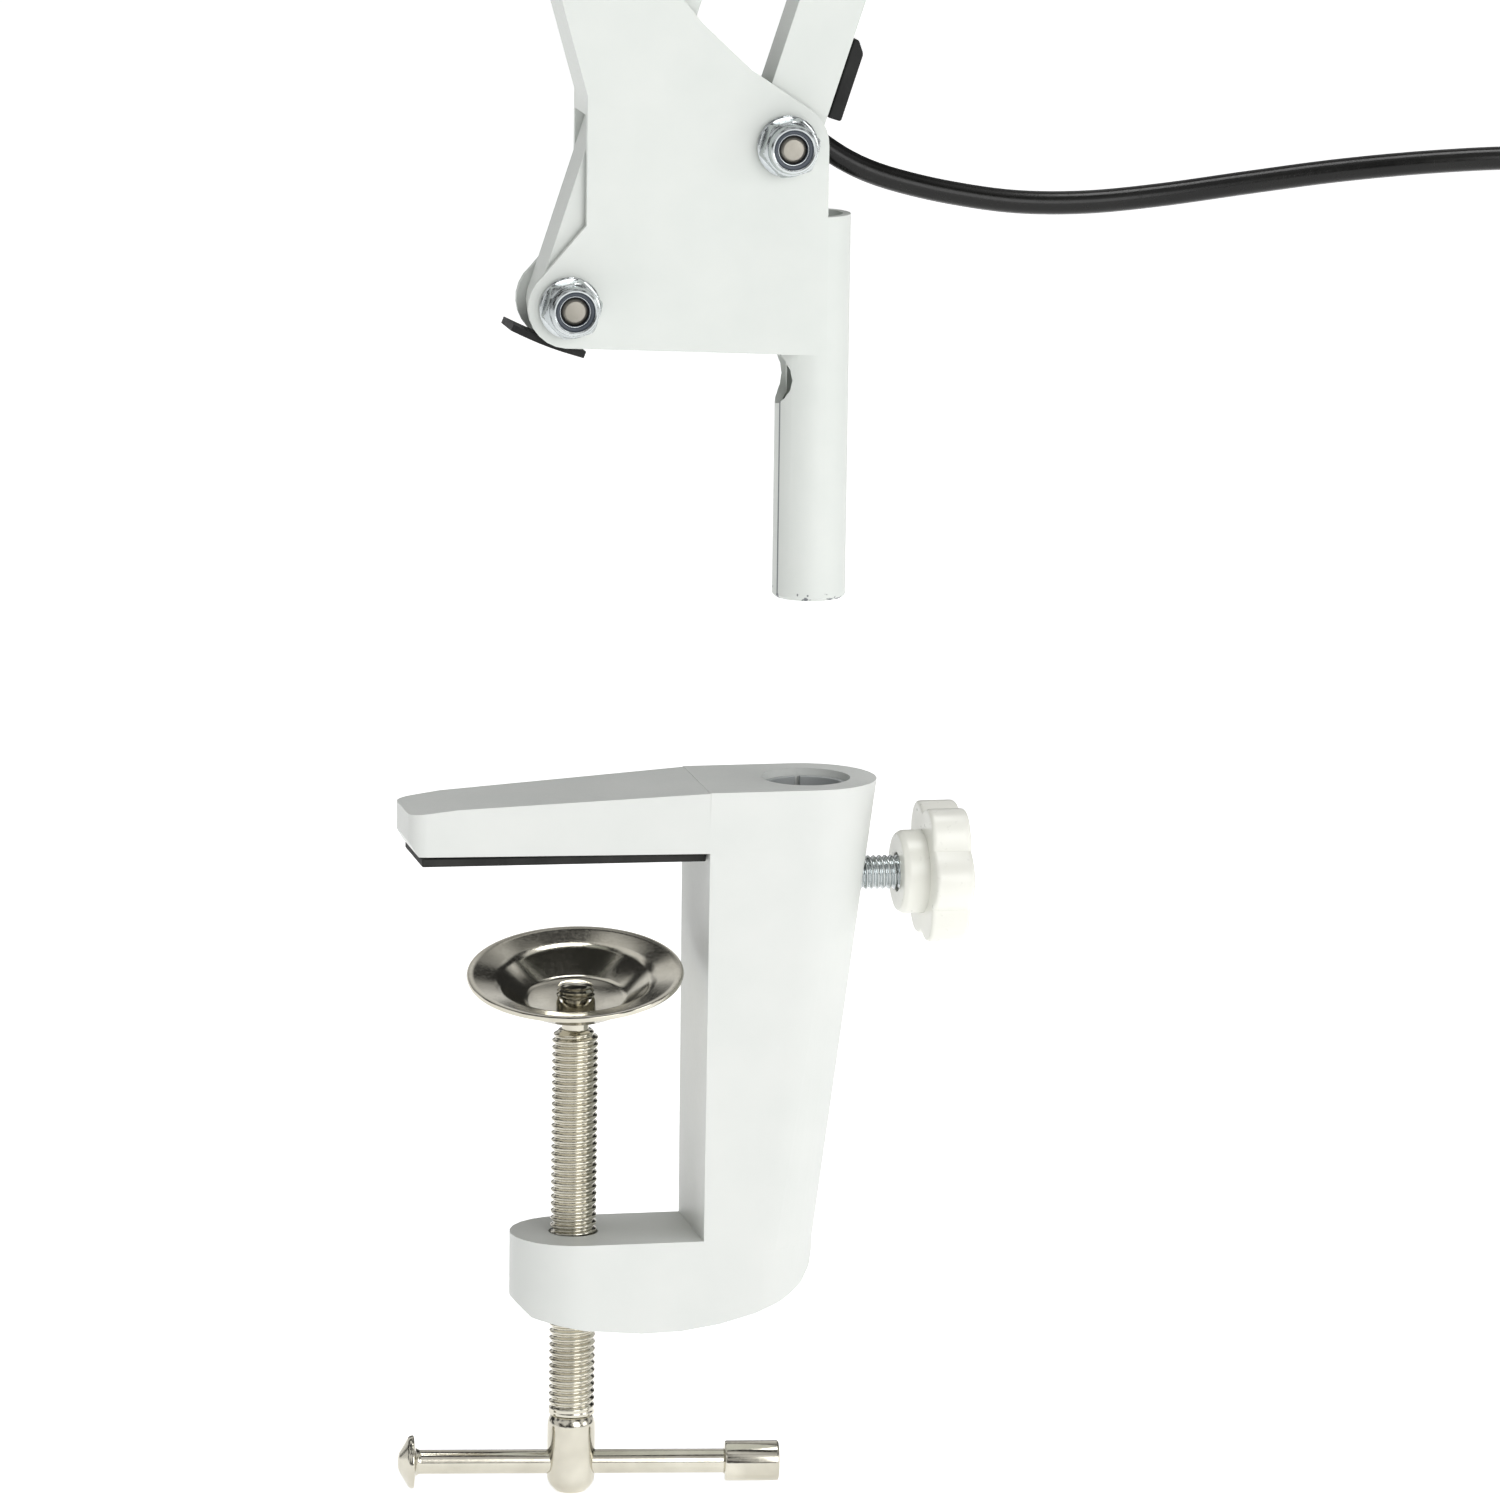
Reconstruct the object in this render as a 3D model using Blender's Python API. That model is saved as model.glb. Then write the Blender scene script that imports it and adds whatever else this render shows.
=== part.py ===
"""Swing arm desk lamp with a cast desk clamp, drawn with its post lifted clear of the clamp.

Units are metres and +Z is up. The origin lies on the underside of the clamp's upper jaw, where
the desk top would touch it, straight below the axis of the lamp's post. The desk lies towards
-X, and both arms swing in the XZ plane.
"""
import math

import bmesh
import bpy
from mathutils import Matrix, Vector

MM = 0.001
GAP = 0.0003                      # gap left between pieces that touch
RUN = 0.00025                     # radial gap of a pin, screw or post that turns in its hole
STEPS = 24                        # sides of a small round piece

# Post and socket
POST_R = 6.25 * MM
POST_BORE_R = 4.9 * MM
POST_BOTTOM = 42.0 * MM           # foot of the post, with the lamp lifted out
LINER_WALL = 0.9 * MM
SOCKET_DEPTH = 27.0 * MM

# Clamp
JAW_TOP = 10.5 * MM
JAW_REACH = 70.0 * MM             # from the post's axis to the jaw's tip
JAW_TIP_HALF = 8.5 * MM
JAW_TIP_T = 6.6 * MM
PAD_T = 1.4 * MM
HEAD_R = 12.2 * MM                # head round the socket
SPINE_HALF = 11.0 * MM
SPINE_INNER = -19.0 * MM
THROAT = 68.0 * MM                # from the jaw's underside to the lower arm
LOWER_T = 13.5 * MM
NOSE_R = 11.0 * MM
SPINE_FOOT_X = 2.0 * MM

# Clamp screw
SCREW_X = -39.7 * MM
SCREW_R = 4.0 * MM
SCREW_FOOT = -114.0 * MM
SCREW_PLAIN = 14.0 * MM           # plain hub at the foot, which holds the bar
DISC_R = 18.6 * MM
DISC_DEPTH = 6.0 * MM
DISC_FLOOR_R = 8.6 * MM
DISC_T = 1.0 * MM
DISC_RIM = -22.0 * MM
TIP_R = 2.4 * MM                  # necked tip that the disc is swaged on
TIP_HEAD_R = 3.1 * MM
BAR_R = 2.1 * MM
BAR_LENGTH = 66.0 * MM
BAR_SHIFT = 3.0 * MM              # how far the bar lies off centre at rest
BAR_TURN = math.radians(-8.0)
BAR_Z = SCREW_FOOT + 5.0 * MM
BAR_CAP_R = 3.5 * MM
BAR_CAP_LENGTH = 9.5 * MM
BAR_HEAD_R = 4.7 * MM
BAR_HEAD_T = 3.0 * MM

# Thumb screw that locks the post
KNOB_Z = -6.6 * MM
KNOB_SCREW_R = 3.0 * MM
KNOB_START = 16.2 * MM            # inner face of the knob's hub
KNOB_HUB_R = 7.2 * MM
KNOB_HUB_T = 4.4 * MM
KNOB_R = 12.6 * MM
KNOB_LOBE = 1.1 * MM
KNOB_T = 6.8 * MM
KNOB_LOBES = 6

# Sheet metal yoke
SHEET = 1.2 * MM
PIVOT_A = Vector((-6.2 * MM, 0.0, 120.0 * MM))     # main arm
PIVOT_B = Vector((-43.2 * MM, 0.0, 93.2 * MM))     # link arm
EAR_R = 7.0 * MM
HORN_TOP = 178.0 * MM
YOKE_HALF = POST_R

# Arms
ARM_W = 11.0 * MM
ARM_D = 9.0 * MM
LOWER_LENGTH = 360.0 * MM
LOWER_TILT = math.radians(18.0)   # from upright towards +X
UPPER_LENGTH = 330.0 * MM
UPPER_TILT = math.radians(-58.0)  # from upright towards -X
BOLT_R = 2.5 * MM
NUT_AF = 9.6 * MM
NUT_T = 5.6 * MM
BOLT_HEAD_R = 4.8 * MM
BOLT_HEAD_T = 3.2 * MM

# Head
LAMP_TILT = math.radians(-28.0)   # the shade's axis, from straight down towards +X
SHADE_R = 80.0 * MM
SHADE_NECK_R = 24.0 * MM
SHADE_LENGTH = 105.0 * MM
SHADE_T = 1.4 * MM
CAP_LENGTH = 62.0 * MM
BULB_R = 27.0 * MM
LUG_LENGTH = 24.0 * MM             # from the shade's pivot to the top of its cap

# Cord
CORD_R = 2.0 * MM
HANK_X = 162.0 * MM
HANK_TOP = 92.0 * MM
HANK_LENGTH = 74.0 * MM
HANK_WIDTH = 30.0 * MM
HANK_DEPTH = 34.0 * MM
PLUG_SHIFT = Vector((13.0 * MM, 14.2 * MM, 0.0))   # from the hank's middle to the plug

WHITE = (0.82, 0.84, 0.82, 1.0)
PLASTIC_WHITE = (0.86, 0.86, 0.82, 1.0)
NICKEL = (0.62, 0.60, 0.54, 1.0)
ZINC = (0.66, 0.68, 0.70, 1.0)
BLACK = (0.02, 0.02, 0.02, 1.0)
GREY = (0.45, 0.47, 0.47, 1.0)
BULB_WHITE = (0.93, 0.92, 0.88, 1.0)


def clear_scene():
    """Removes whatever the scene holds."""
    for item in list(bpy.data.objects):
        bpy.data.objects.remove(item, do_unlink=True)


def finish_of(name, colour, roughness, metallic):
    """A Principled material of one colour."""
    material = bpy.data.materials.new(name)
    material.use_nodes = True
    shader = material.node_tree.nodes["Principled BSDF"]
    shader.inputs["Base Color"].default_value = colour
    shader.inputs["Roughness"].default_value = roughness
    shader.inputs["Metallic"].default_value = metallic
    material.diffuse_color = colour
    return material


def add_mesh(name, shape, look, smooth=40.0):
    """Links a bmesh as a named object, with its faces turned outwards and smooth shading."""
    bmesh.ops.recalc_face_normals(shape, faces=shape.faces)
    mesh = bpy.data.meshes.new(name)
    shape.to_mesh(mesh)
    shape.free()
    item = bpy.data.objects.new(name, mesh)
    bpy.context.collection.objects.link(item)
    mesh.shade_smooth()
    mesh.set_sharp_from_angle(angle=math.radians(smooth))
    if look:
        material = finish_of(name + "_finish", *look)
        mesh.materials.append(material)
    return item


def turned(profile, steps=STEPS):
    """A closed solid turned about +Z from (radius, height) points; a radius of 0 is a pole."""
    shape = bmesh.new()
    rings = []
    for radius, height in profile:
        if radius <= 0.0:
            rings.append([shape.verts.new((0.0, 0.0, height))])
            continue
        ring = []
        for k in range(steps):
            a = 2.0 * math.pi * k / steps
            ring.append(shape.verts.new((radius * math.cos(a), radius * math.sin(a), height)))
        rings.append(ring)
    closed = profile[0][0] > 0.0 or profile[-1][0] > 0.0
    pairs = list(zip(rings, rings[1:] + rings[:1])) if closed else list(zip(rings, rings[1:]))
    for low, high in pairs:
        for k in range(steps):
            n = (k + 1) % steps
            if len(low) == 1 and len(high) == 1:
                continue
            if len(low) == 1:
                shape.faces.new((low[0], high[n], high[k]))
            elif len(high) == 1:
                shape.faces.new((low[k], low[n], high[0]))
            else:
                shape.faces.new((low[k], low[n], high[n], high[k]))
    return shape


def rod(radius, start, end, steps=STEPS, chamfer=0.0):
    """A round rod from start to end, with chamfered ends where asked."""
    start, end = Vector(start), Vector(end)
    length = (end - start).length
    if chamfer:
        profile = [(0, 0), (radius - chamfer, 0), (radius, chamfer),
                   (radius, length - chamfer), (radius - chamfer, length), (0, length)]
    else:
        profile = [(0, 0), (radius, 0), (radius, length), (0, length)]
    shape = turned(profile, steps)
    turn = (end - start).to_track_quat("Z", "Y").to_matrix().to_4x4()
    bmesh.ops.transform(shape, matrix=Matrix.Translation(start) @ turn, verts=shape.verts)
    return shape


def prism(outline, low, high, axis="Y"):
    """A flat outline of (x, z) or (x, y) points, extruded along Y or Z between two levels."""
    shape = bmesh.new()
    if axis == "Y":
        verts = [shape.verts.new((u, low, v)) for u, v in outline]
        push = Vector((0, high - low, 0))
    else:
        verts = [shape.verts.new((u, v, low)) for u, v in outline]
        push = Vector((0, 0, high - low))
    face = shape.faces.new(verts)
    made = bmesh.ops.extrude_face_region(shape, geom=[face])
    moved = [v for v in made["geom"] if isinstance(v, bmesh.types.BMVert)]
    bmesh.ops.translate(shape, verts=moved, vec=push)
    return shape


def arc(cx, cy, radius, first, last, steps=8):
    """Points of an arc in degrees, both ends included."""
    angles = [math.radians(first + (last - first) * k / steps) for k in range(steps + 1)]
    return [(cx + radius * math.cos(a), cy + radius * math.sin(a)) for a in angles]


def combine(target, cutter_shape, operation="DIFFERENCE"):
    """Cuts a bmesh out of an object, or joins it on, and applies the result."""
    tool = add_mesh("tool", cutter_shape, None)
    tool.hide_render = True
    tool.display_type = "WIRE"
    step = target.modifiers.new("cut", "BOOLEAN")
    step.operation = operation
    step.solver = "EXACT"
    step.object = tool
    bpy.context.view_layer.update()
    graph = bpy.context.evaluated_depsgraph_get()
    made = bpy.data.meshes.new_from_object(target.evaluated_get(graph))
    target.modifiers.remove(step)
    old = target.data
    target.data = made
    bpy.data.meshes.remove(old)
    bpy.data.objects.remove(tool, do_unlink=True)
    return target


CAST = (WHITE, 0.42, 0.0)
SHEET_WHITE = (WHITE, 0.38, 0.0)
STEEL = (NICKEL, 0.22, 1.0)
ZINC_PLATE = (ZINC, 0.3, 1.0)
RUBBER = (BLACK, 0.6, 0.0)
KNOB_PLASTIC = (PLASTIC_WHITE, 0.35, 0.0)


def spine_section(edge, height, half):
    """The spine's outline at one height: square towards the throat, round at the outer edge."""
    points = [(SPINE_INNER, -half)]
    points += arc(edge - half, 0.0, half, -90, 90, 14)
    points.append((SPINE_INNER, half))
    return [Vector((x, y, height)) for x, y in points]


def loft(sections):
    """Joins closed outlines of equal count into one capped solid."""
    shape = bmesh.new()
    rings = [[shape.verts.new(p) for p in section] for section in sections]
    count = len(rings[0])
    for low, high in zip(rings, rings[1:]):
        for k in range(count):
            n = (k + 1) % count
            shape.faces.new((low[k], low[n], high[n], high[k]))
    shape.faces.new(rings[0])
    shape.faces.new(rings[-1])
    return shape


def build_clamp_frame():
    """The cast clamp: jaw, spine with the socket, and lower arm with the screw's hole."""
    foot = -THROAT - 2 * MM
    frame = add_mesh("clamp_frame", loft([spine_section(SPINE_FOOT_X, foot, SPINE_HALF),
                                          spine_section(HEAD_R, JAW_TOP, HEAD_R)]), CAST)
    tip = -JAW_REACH
    root = SPINE_INNER / 2
    jaw_side = [(tip, JAW_TOP - JAW_TIP_T - 1.5 * MM), (tip + 1.5 * MM, 0.0), (root, 0.0),
                (root, JAW_TOP - 0.05 * MM), (SPINE_INNER, JAW_TOP - 0.1 * MM),
                (tip + 8 * MM, JAW_TOP - 2.4 * MM), (tip, JAW_TOP - 3.4 * MM)]
    jaw = add_mesh("jaw", prism(jaw_side, -HEAD_R, HEAD_R), None)
    plan = arc(tip + 3 * MM, -JAW_TIP_HALF + 3 * MM, 3 * MM, 180, 270, 4)
    flush = HEAD_R - 0.1 * MM
    plan += [(SPINE_INNER, -flush), (root, -flush), (root, flush), (SPINE_INNER, flush)]
    plan += arc(tip + 3 * MM, JAW_TIP_HALF - 3 * MM, 3 * MM, 90, 180, 4)
    combine(jaw, prism(plan, -0.02, 0.03, "Z"), "INTERSECT")
    bottom = -THROAT - LOWER_T
    corner = SPINE_FOOT_X
    side = [(SCREW_X - NOSE_R, -THROAT), (SCREW_X - NOSE_R, bottom + 2.5 * MM),
            (SCREW_X - NOSE_R + 2.5 * MM, bottom + 0.2 * MM), (SCREW_X, bottom - 1.5 * MM),
            (SCREW_X + 10 * MM, bottom - 2.4 * MM), (SCREW_X + 17 * MM, bottom - 2.2 * MM),
            (corner - 18 * MM, bottom - 1.2 * MM), (corner - 12 * MM, bottom + 0.4 * MM),
            (corner - 7 * MM, bottom + 2.4 * MM), (corner - 3.2 * MM, bottom + 4.8 * MM),
            (corner - 1.1 * MM, bottom + 7.4 * MM), (corner - 0.2 * MM, bottom + 10 * MM), (corner, -THROAT)]
    lower = add_mesh("lower", prism(side, -NOSE_R, NOSE_R), None)
    plan = arc(SCREW_X, 0.0, NOSE_R, 90, 270, 12) + arc(SPINE_FOOT_X - NOSE_R, 0.0, NOSE_R, -90, 90, 12)
    combine(lower, prism(plan, -0.12, 0.0, "Z"), "INTERSECT")
    for piece in (jaw, lower):
        shape = bmesh.new()
        shape.from_mesh(piece.data)
        combine(frame, shape, "UNION")
        bpy.data.objects.remove(piece, do_unlink=True)
    bore = POST_R + RUN + LINER_WALL + RUN
    combine(frame, rod(bore, (0, 0, JAW_TOP - SOCKET_DEPTH), (0, 0, JAW_TOP + 0.01), 32))
    combine(frame, rod(SCREW_R + RUN, (SCREW_X, 0, -0.11), (SCREW_X, 0, -0.05), 32))
    combine(frame, rod(KNOB_SCREW_R + RUN, (2 * MM, 0, KNOB_Z), (0.03, 0, KNOB_Z)))
    return frame


def build_jaw_pad():
    """The rubber strip under the jaw; its lower face is the desk face."""
    tip = -JAW_REACH
    start, end = tip + 2 * MM, SPINE_INNER - GAP
    half_end = JAW_TIP_HALF + (SPINE_HALF - JAW_TIP_HALF) * 0.7
    plan = [(start, -JAW_TIP_HALF), (end, -half_end), (end, half_end), (start, JAW_TIP_HALF)]
    return add_mesh("jaw_pad", prism(plan, -GAP - PAD_T, -GAP, "Z"), RUBBER)


def build_pressure_disc():
    """The dished steel disc that bears on the desk's underside, swaged on the screw's tip."""
    floor = DISC_RIM - DISC_DEPTH
    hole = TIP_R + RUN
    profile = [(hole, floor), (DISC_FLOOR_R, floor), (DISC_R - 5 * MM, DISC_RIM - 1.4 * MM),
               (DISC_R, DISC_RIM - DISC_T * 0.4), (DISC_R, DISC_RIM + DISC_T * 0.6),
               (DISC_R - 5.4 * MM, DISC_RIM - 1.2 * MM + DISC_T),
               (DISC_FLOOR_R - 0.4 * MM, floor + DISC_T), (hole, floor + DISC_T)]
    shape = turned(profile, 40)
    bmesh.ops.translate(shape, verts=shape.verts, vec=(SCREW_X, 0, 0))
    return add_mesh("pressure_disc", shape, STEEL)


def build_clamp_screw():
    """The clamp screw: hub with a cross hole, smooth shank at the thread's outer size, necked tip."""
    floor = DISC_RIM - DISC_DEPTH
    hub_top = SCREW_FOOT + SCREW_PLAIN
    profile = [(0, SCREW_FOOT), (SCREW_R - 1 * MM, SCREW_FOOT), (SCREW_R - 0.2 * MM, SCREW_FOOT + MM),
               (SCREW_R - 0.2 * MM, hub_top), (SCREW_R, hub_top + MM), (SCREW_R, floor - 4.5 * MM),
               (TIP_R + 0.8 * MM, floor - GAP), (TIP_R, floor - GAP),
               (TIP_R, floor + DISC_T + GAP), (TIP_HEAD_R, floor + DISC_T + GAP),
               (TIP_HEAD_R - 0.5 * MM, floor + DISC_T + 3 * MM), (0, floor + DISC_T + 3 * MM)]
    shape = turned(profile, 28)
    bmesh.ops.translate(shape, verts=shape.verts, vec=(SCREW_X, 0, 0))
    screw = add_mesh("clamp_screw", shape, STEEL)
    away = Vector((math.cos(BAR_TURN), math.sin(BAR_TURN), 0)) * 0.012
    centre = Vector((SCREW_X, 0, BAR_Z))
    return combine(screw, rod(BAR_R + RUN, centre - away, centre + away))


def build_tommy_bar():
    """The sliding bar through the hub, with a domed head and a pressed-on cap."""
    half = BAR_LENGTH / 2
    profile = [(0, -half), (BAR_HEAD_R * 0.35, -half), (BAR_HEAD_R, -half + BAR_HEAD_T * 0.7),
               (BAR_HEAD_R, -half + BAR_HEAD_T), (BAR_R, -half + BAR_HEAD_T),
               (BAR_R, half - BAR_CAP_LENGTH), (BAR_CAP_R, half - BAR_CAP_LENGTH),
               (BAR_CAP_R, half - 0.5 * MM), (BAR_CAP_R - 0.5 * MM, half), (0, half)]
    shape = turned(profile, 24)
    along = Vector((math.cos(BAR_TURN), math.sin(BAR_TURN), 0))
    turn = along.to_track_quat("Z", "Y").to_matrix().to_4x4()
    place = Matrix.Translation(Vector((SCREW_X, 0, BAR_Z)) + along * BAR_SHIFT)
    bmesh.ops.transform(shape, matrix=place @ turn, verts=shape.verts)
    return add_mesh("tommy_bar", shape, STEEL)


def build_thumb_screw():
    """The lock screw and its lobed knob."""
    tip = POST_R + RUN + LINER_WALL + RUN + GAP
    stud = rod(KNOB_SCREW_R, (tip, 0, KNOB_Z), (KNOB_START + KNOB_HUB_T + 3 * MM, 0, KNOB_Z), 20, 0.4 * MM)
    add_mesh("thumb_screw", stud, ZINC_PLATE)
    points = []
    for k in range(KNOB_LOBES * 8):
        a = 2 * math.pi * k / (KNOB_LOBES * 8)
        r = KNOB_R - KNOB_LOBE + KNOB_LOBE * math.cos(KNOB_LOBES * a)
        points.append((r * math.cos(a), r * math.sin(a)))
    shape = prism(points, 0.0, KNOB_T, "Z")
    start = KNOB_START + KNOB_HUB_T
    turn = Matrix.Rotation(math.radians(90), 4, "Y")
    bmesh.ops.transform(shape, matrix=Matrix.Translation((start, 0, KNOB_Z)) @ turn, verts=shape.verts)
    knob = add_mesh("thumb_knob", shape, KNOB_PLASTIC)
    combine(knob, rod(KNOB_HUB_R, (KNOB_START, 0, KNOB_Z), (start + MM, 0, KNOB_Z), 32, 0.5 * MM), "UNION")
    hole_end = KNOB_START + KNOB_HUB_T + 3 * MM + GAP
    return combine(knob, rod(KNOB_SCREW_R + GAP, (KNOB_START - MM, 0, KNOB_Z), (hole_end, 0, KNOB_Z), 20))


def build_socket_liner():
    """The thin split sleeve that lines the socket."""
    inner, outer = POST_R + RUN, POST_R + RUN + LINER_WALL
    low, high = JAW_TOP - SOCKET_DEPTH + GAP, JAW_TOP - 1.2 * MM
    liner = add_mesh("socket_liner", turned([(inner, low), (outer, low), (outer, high), (inner, high)], 32),
                     (GREY, 0.5, 0.0))
    return combine(liner, prism([(-0.4 * MM, low - MM), (0.4 * MM, low - MM), (0.4 * MM, high + MM),
                                 (-0.4 * MM, high + MM)], 0.0, 0.01))


def hull_outline(circles, steps=20):
    """The outline stretched round circles given as (x, z, radius), as an anticlockwise list."""
    points = []
    for x, z, radius in circles:
        points += arc(x, z, radius, 0, 360 - 360 / steps, steps - 1)
    points = sorted(set(points))

    def half(ordered):
        chain = []
        for p in ordered:
            while len(chain) > 1 and ((chain[-1][0] - chain[-2][0]) * (p[1] - chain[-2][1])
                                      - (chain[-1][1] - chain[-2][1]) * (p[0] - chain[-2][0])) <= 1e-12:
                chain.pop()
            chain.append(p)
        return chain[:-1]

    return half(points) + half(points[::-1])


def pin(point, radius, half, steps=20):
    """A rod across the lamp, along Y, through a pivot point."""
    return rod(radius, (point.x, -half, point.z), (point.x, half, point.z), steps)


def tilted(angle):
    """The unit vector in the XZ plane at an angle from upright, positive towards +X."""
    return Vector((math.sin(angle), 0.0, math.cos(angle)))


LOWER_DIR = tilted(LOWER_TILT)
UPPER_DIR = tilted(UPPER_TILT)
ELBOW_A = PIVOT_A + LOWER_DIR * LOWER_LENGTH
ELBOW_B = PIVOT_B + LOWER_DIR * LOWER_LENGTH
UPPER_A = ELBOW_B + Vector((8 * MM, 0, 30 * MM))
UPPER_B = ELBOW_A + Vector((-8 * MM, 0, 22 * MM))
HEAD_A = UPPER_A + UPPER_DIR * UPPER_LENGTH
HEAD_B = UPPER_B + UPPER_DIR * UPPER_LENGTH
SHADE_PIVOT = HEAD_A + Vector((-26 * MM, 0, -6 * MM))


def build_yoke():
    """The folded yoke: two side plates, a web at the left edge, and the rolled post."""
    ax, az, bx, bz = PIVOT_A.x, PIVOT_A.z, PIVOT_B.x, PIVOT_B.z
    foot = 84.3 * MM
    shoulder = 107.8 * MM
    plate = [(0.0, foot), (0.0, shoulder), (ax + 7.3 * MM, shoulder)]
    plate += arc(ax, az, 7.3 * MM, 0, 62, 6)
    plate += [(-12.5 * MM, 133.0 * MM), (-21.0 * MM, 141.0 * MM), (-28.0 * MM, 149.5 * MM),
              (-34.0 * MM, 160.0 * MM)]
    plate += arc(-44.0 * MM, HORN_TOP - 6 * MM, 6 * MM, 10, 170, 8)
    plate += [(-45.9 * MM, 148.0 * MM), (-40.4 * MM, 128.7 * MM), (-40.4 * MM, 107.0 * MM)]
    plate += arc(bx, bz, EAR_R, 130, 265, 10)
    yoke = add_mesh("yoke", prism(plate, -YOKE_HALF, -YOKE_HALF + SHEET), SHEET_WHITE)
    combine(yoke, prism(plate, YOKE_HALF - SHEET, YOKE_HALF), "UNION")
    web = [(-40.4 * MM, 125.5 * MM), (-40.4 * MM, 128.7 * MM), (-45.9 * MM, 148.0 * MM),
           (-50.0 * MM, HORN_TOP - 7 * MM), (-50.0 * MM + SHEET, HORN_TOP - 7 * MM),
           (-45.9 * MM + SHEET, 148.3 * MM), (-40.4 * MM + SHEET, 128.9 * MM),
           (-40.4 * MM + SHEET, 125.5 * MM)]
    combine(yoke, prism(web, -YOKE_HALF, YOKE_HALF), "UNION")
    post = add_mesh("post", turned([(POST_BORE_R, POST_BOTTOM), (POST_R - 0.5 * MM, POST_BOTTOM),
                                    (POST_R, POST_BOTTOM + 0.5 * MM), (POST_R, shoulder),
                                    (POST_BORE_R, shoulder)], 32), None)
    inner = YOKE_HALF - SHEET
    combine(post, prism([(-0.02, foot), (0.0, foot), (0.0, 0.12), (-0.02, 0.12)], -inner, inner))
    combine(post, rod(4.5 * MM, (-0.02, 0, foot - 4.5 * MM), (-3.6 * MM, 0, foot - 4.5 * MM), 16))
    shape = bmesh.new()
    shape.from_mesh(post.data)
    combine(yoke, shape, "UNION")
    bpy.data.objects.remove(post, do_unlink=True)
    for point in (PIVOT_A, PIVOT_B):
        combine(yoke, pin(point, BOLT_R + RUN, 0.02))
    return yoke


def build_fasteners(place_name, points, half):
    """At each pivot, a pan-headed bolt with its head at the back, and a collared nut in front."""
    head = half + GAP + BOLT_HEAD_T
    bolt_profile = [(0, -head), (BOLT_HEAD_R * 0.7, -head), (BOLT_HEAD_R, -head + 1.2 * MM),
                    (BOLT_HEAD_R, -half - GAP), (BOLT_R, -half - GAP), (BOLT_R, half + NUT_T + 0.8 * MM),
                    (0, half + NUT_T + 0.8 * MM)]
    across = Matrix.Rotation(math.radians(90), 4, "X")
    corner = NUT_AF / math.sqrt(3)
    hexagon = arc(0, 0, corner, 0, 300, 5)
    collar_profile = [(0, 0.2 * MM), (NUT_AF * 0.44, 0.2 * MM), (NUT_AF * 0.44, NUT_T - 0.5 * MM),
                      (NUT_AF * 0.4, NUT_T), (0, NUT_T)]
    washer_profile = [(0, 0), (NUT_AF * 0.6, 0), (NUT_AF * 0.6, 0.7 * MM), (0, 0.7 * MM)]
    for number, point in enumerate(points, start=1):
        bolt = add_mesh(f"{place_name}_bolt_{number}", turned(bolt_profile, 20), STEEL)
        bolt.data.transform(Matrix.Translation(point) @ across)
        nut = add_mesh(f"{place_name}_nut_{number}", prism(hexagon, 0.0, NUT_T * 0.68, "Z"), ZINC_PLATE)
        combine(nut, turned(collar_profile, 24), "UNION")
        combine(nut, turned(washer_profile, 24), "UNION")
        combine(nut, rod(BOLT_R + GAP, (0, 0, -MM), (0, 0, NUT_T + MM), 20))
        nut.data.transform(Matrix.Translation((point.x, -half - GAP, point.z)) @ across)


def build_arm(name, start, direction, length):
    """A flat-sided arm with round ends and a pivot hole at each end."""
    end = start + direction * length
    outline = hull_outline([(start.x, start.z, ARM_W / 2), (end.x, end.z, ARM_W / 2)])
    arm = add_mesh(name, prism(outline, -ARM_D / 2, ARM_D / 2), SHEET_WHITE)
    for point in (start, end):
        combine(arm, pin(point, BOLT_R + RUN, 0.02))
    return arm


def strip_on_arm(name, start, direction, low, high, inner, outer):
    """A black strip along one side of an arm, between two distances from its pivot."""
    side = Vector((direction.z, 0, -direction.x))
    marks = ((low, inner), (low, outer), (high - 2 * MM, outer), (high, inner + MM), (high, inner))
    corners = [start + direction * a + side * b for a, b in marks]
    outline = [(p.x, p.z) for p in corners]
    return add_mesh(name, prism(outline, -ARM_D / 2 + MM, ARM_D / 2 - MM), RUBBER)


def build_plates(name, circles, spacer, holes):
    """Two equal side plates, joined by a round spacer, with pivot holes."""
    outline = hull_outline(circles)
    inner = YOKE_HALF - SHEET
    plates = add_mesh(name, prism(outline, -YOKE_HALF, -inner), SHEET_WHITE)
    combine(plates, prism(outline, inner, YOKE_HALF), "UNION")
    combine(plates, pin(spacer, 3 * MM, inner + SHEET / 2), "UNION")
    for point in holes:
        combine(plates, pin(point, BOLT_R + RUN, 0.02))
    return plates


def along_shade(shape):
    """Moves a piece drawn along +Z, from the cap's top, to the shade's own axis."""
    axis = -tilted(LAMP_TILT)
    turn = axis.to_track_quat("Z", "Y").to_matrix().to_4x4()
    top = SHADE_PIVOT + axis * LUG_LENGTH
    bmesh.ops.transform(shape, matrix=Matrix.Translation(top) @ turn, verts=shape.verts)
    return shape


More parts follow.
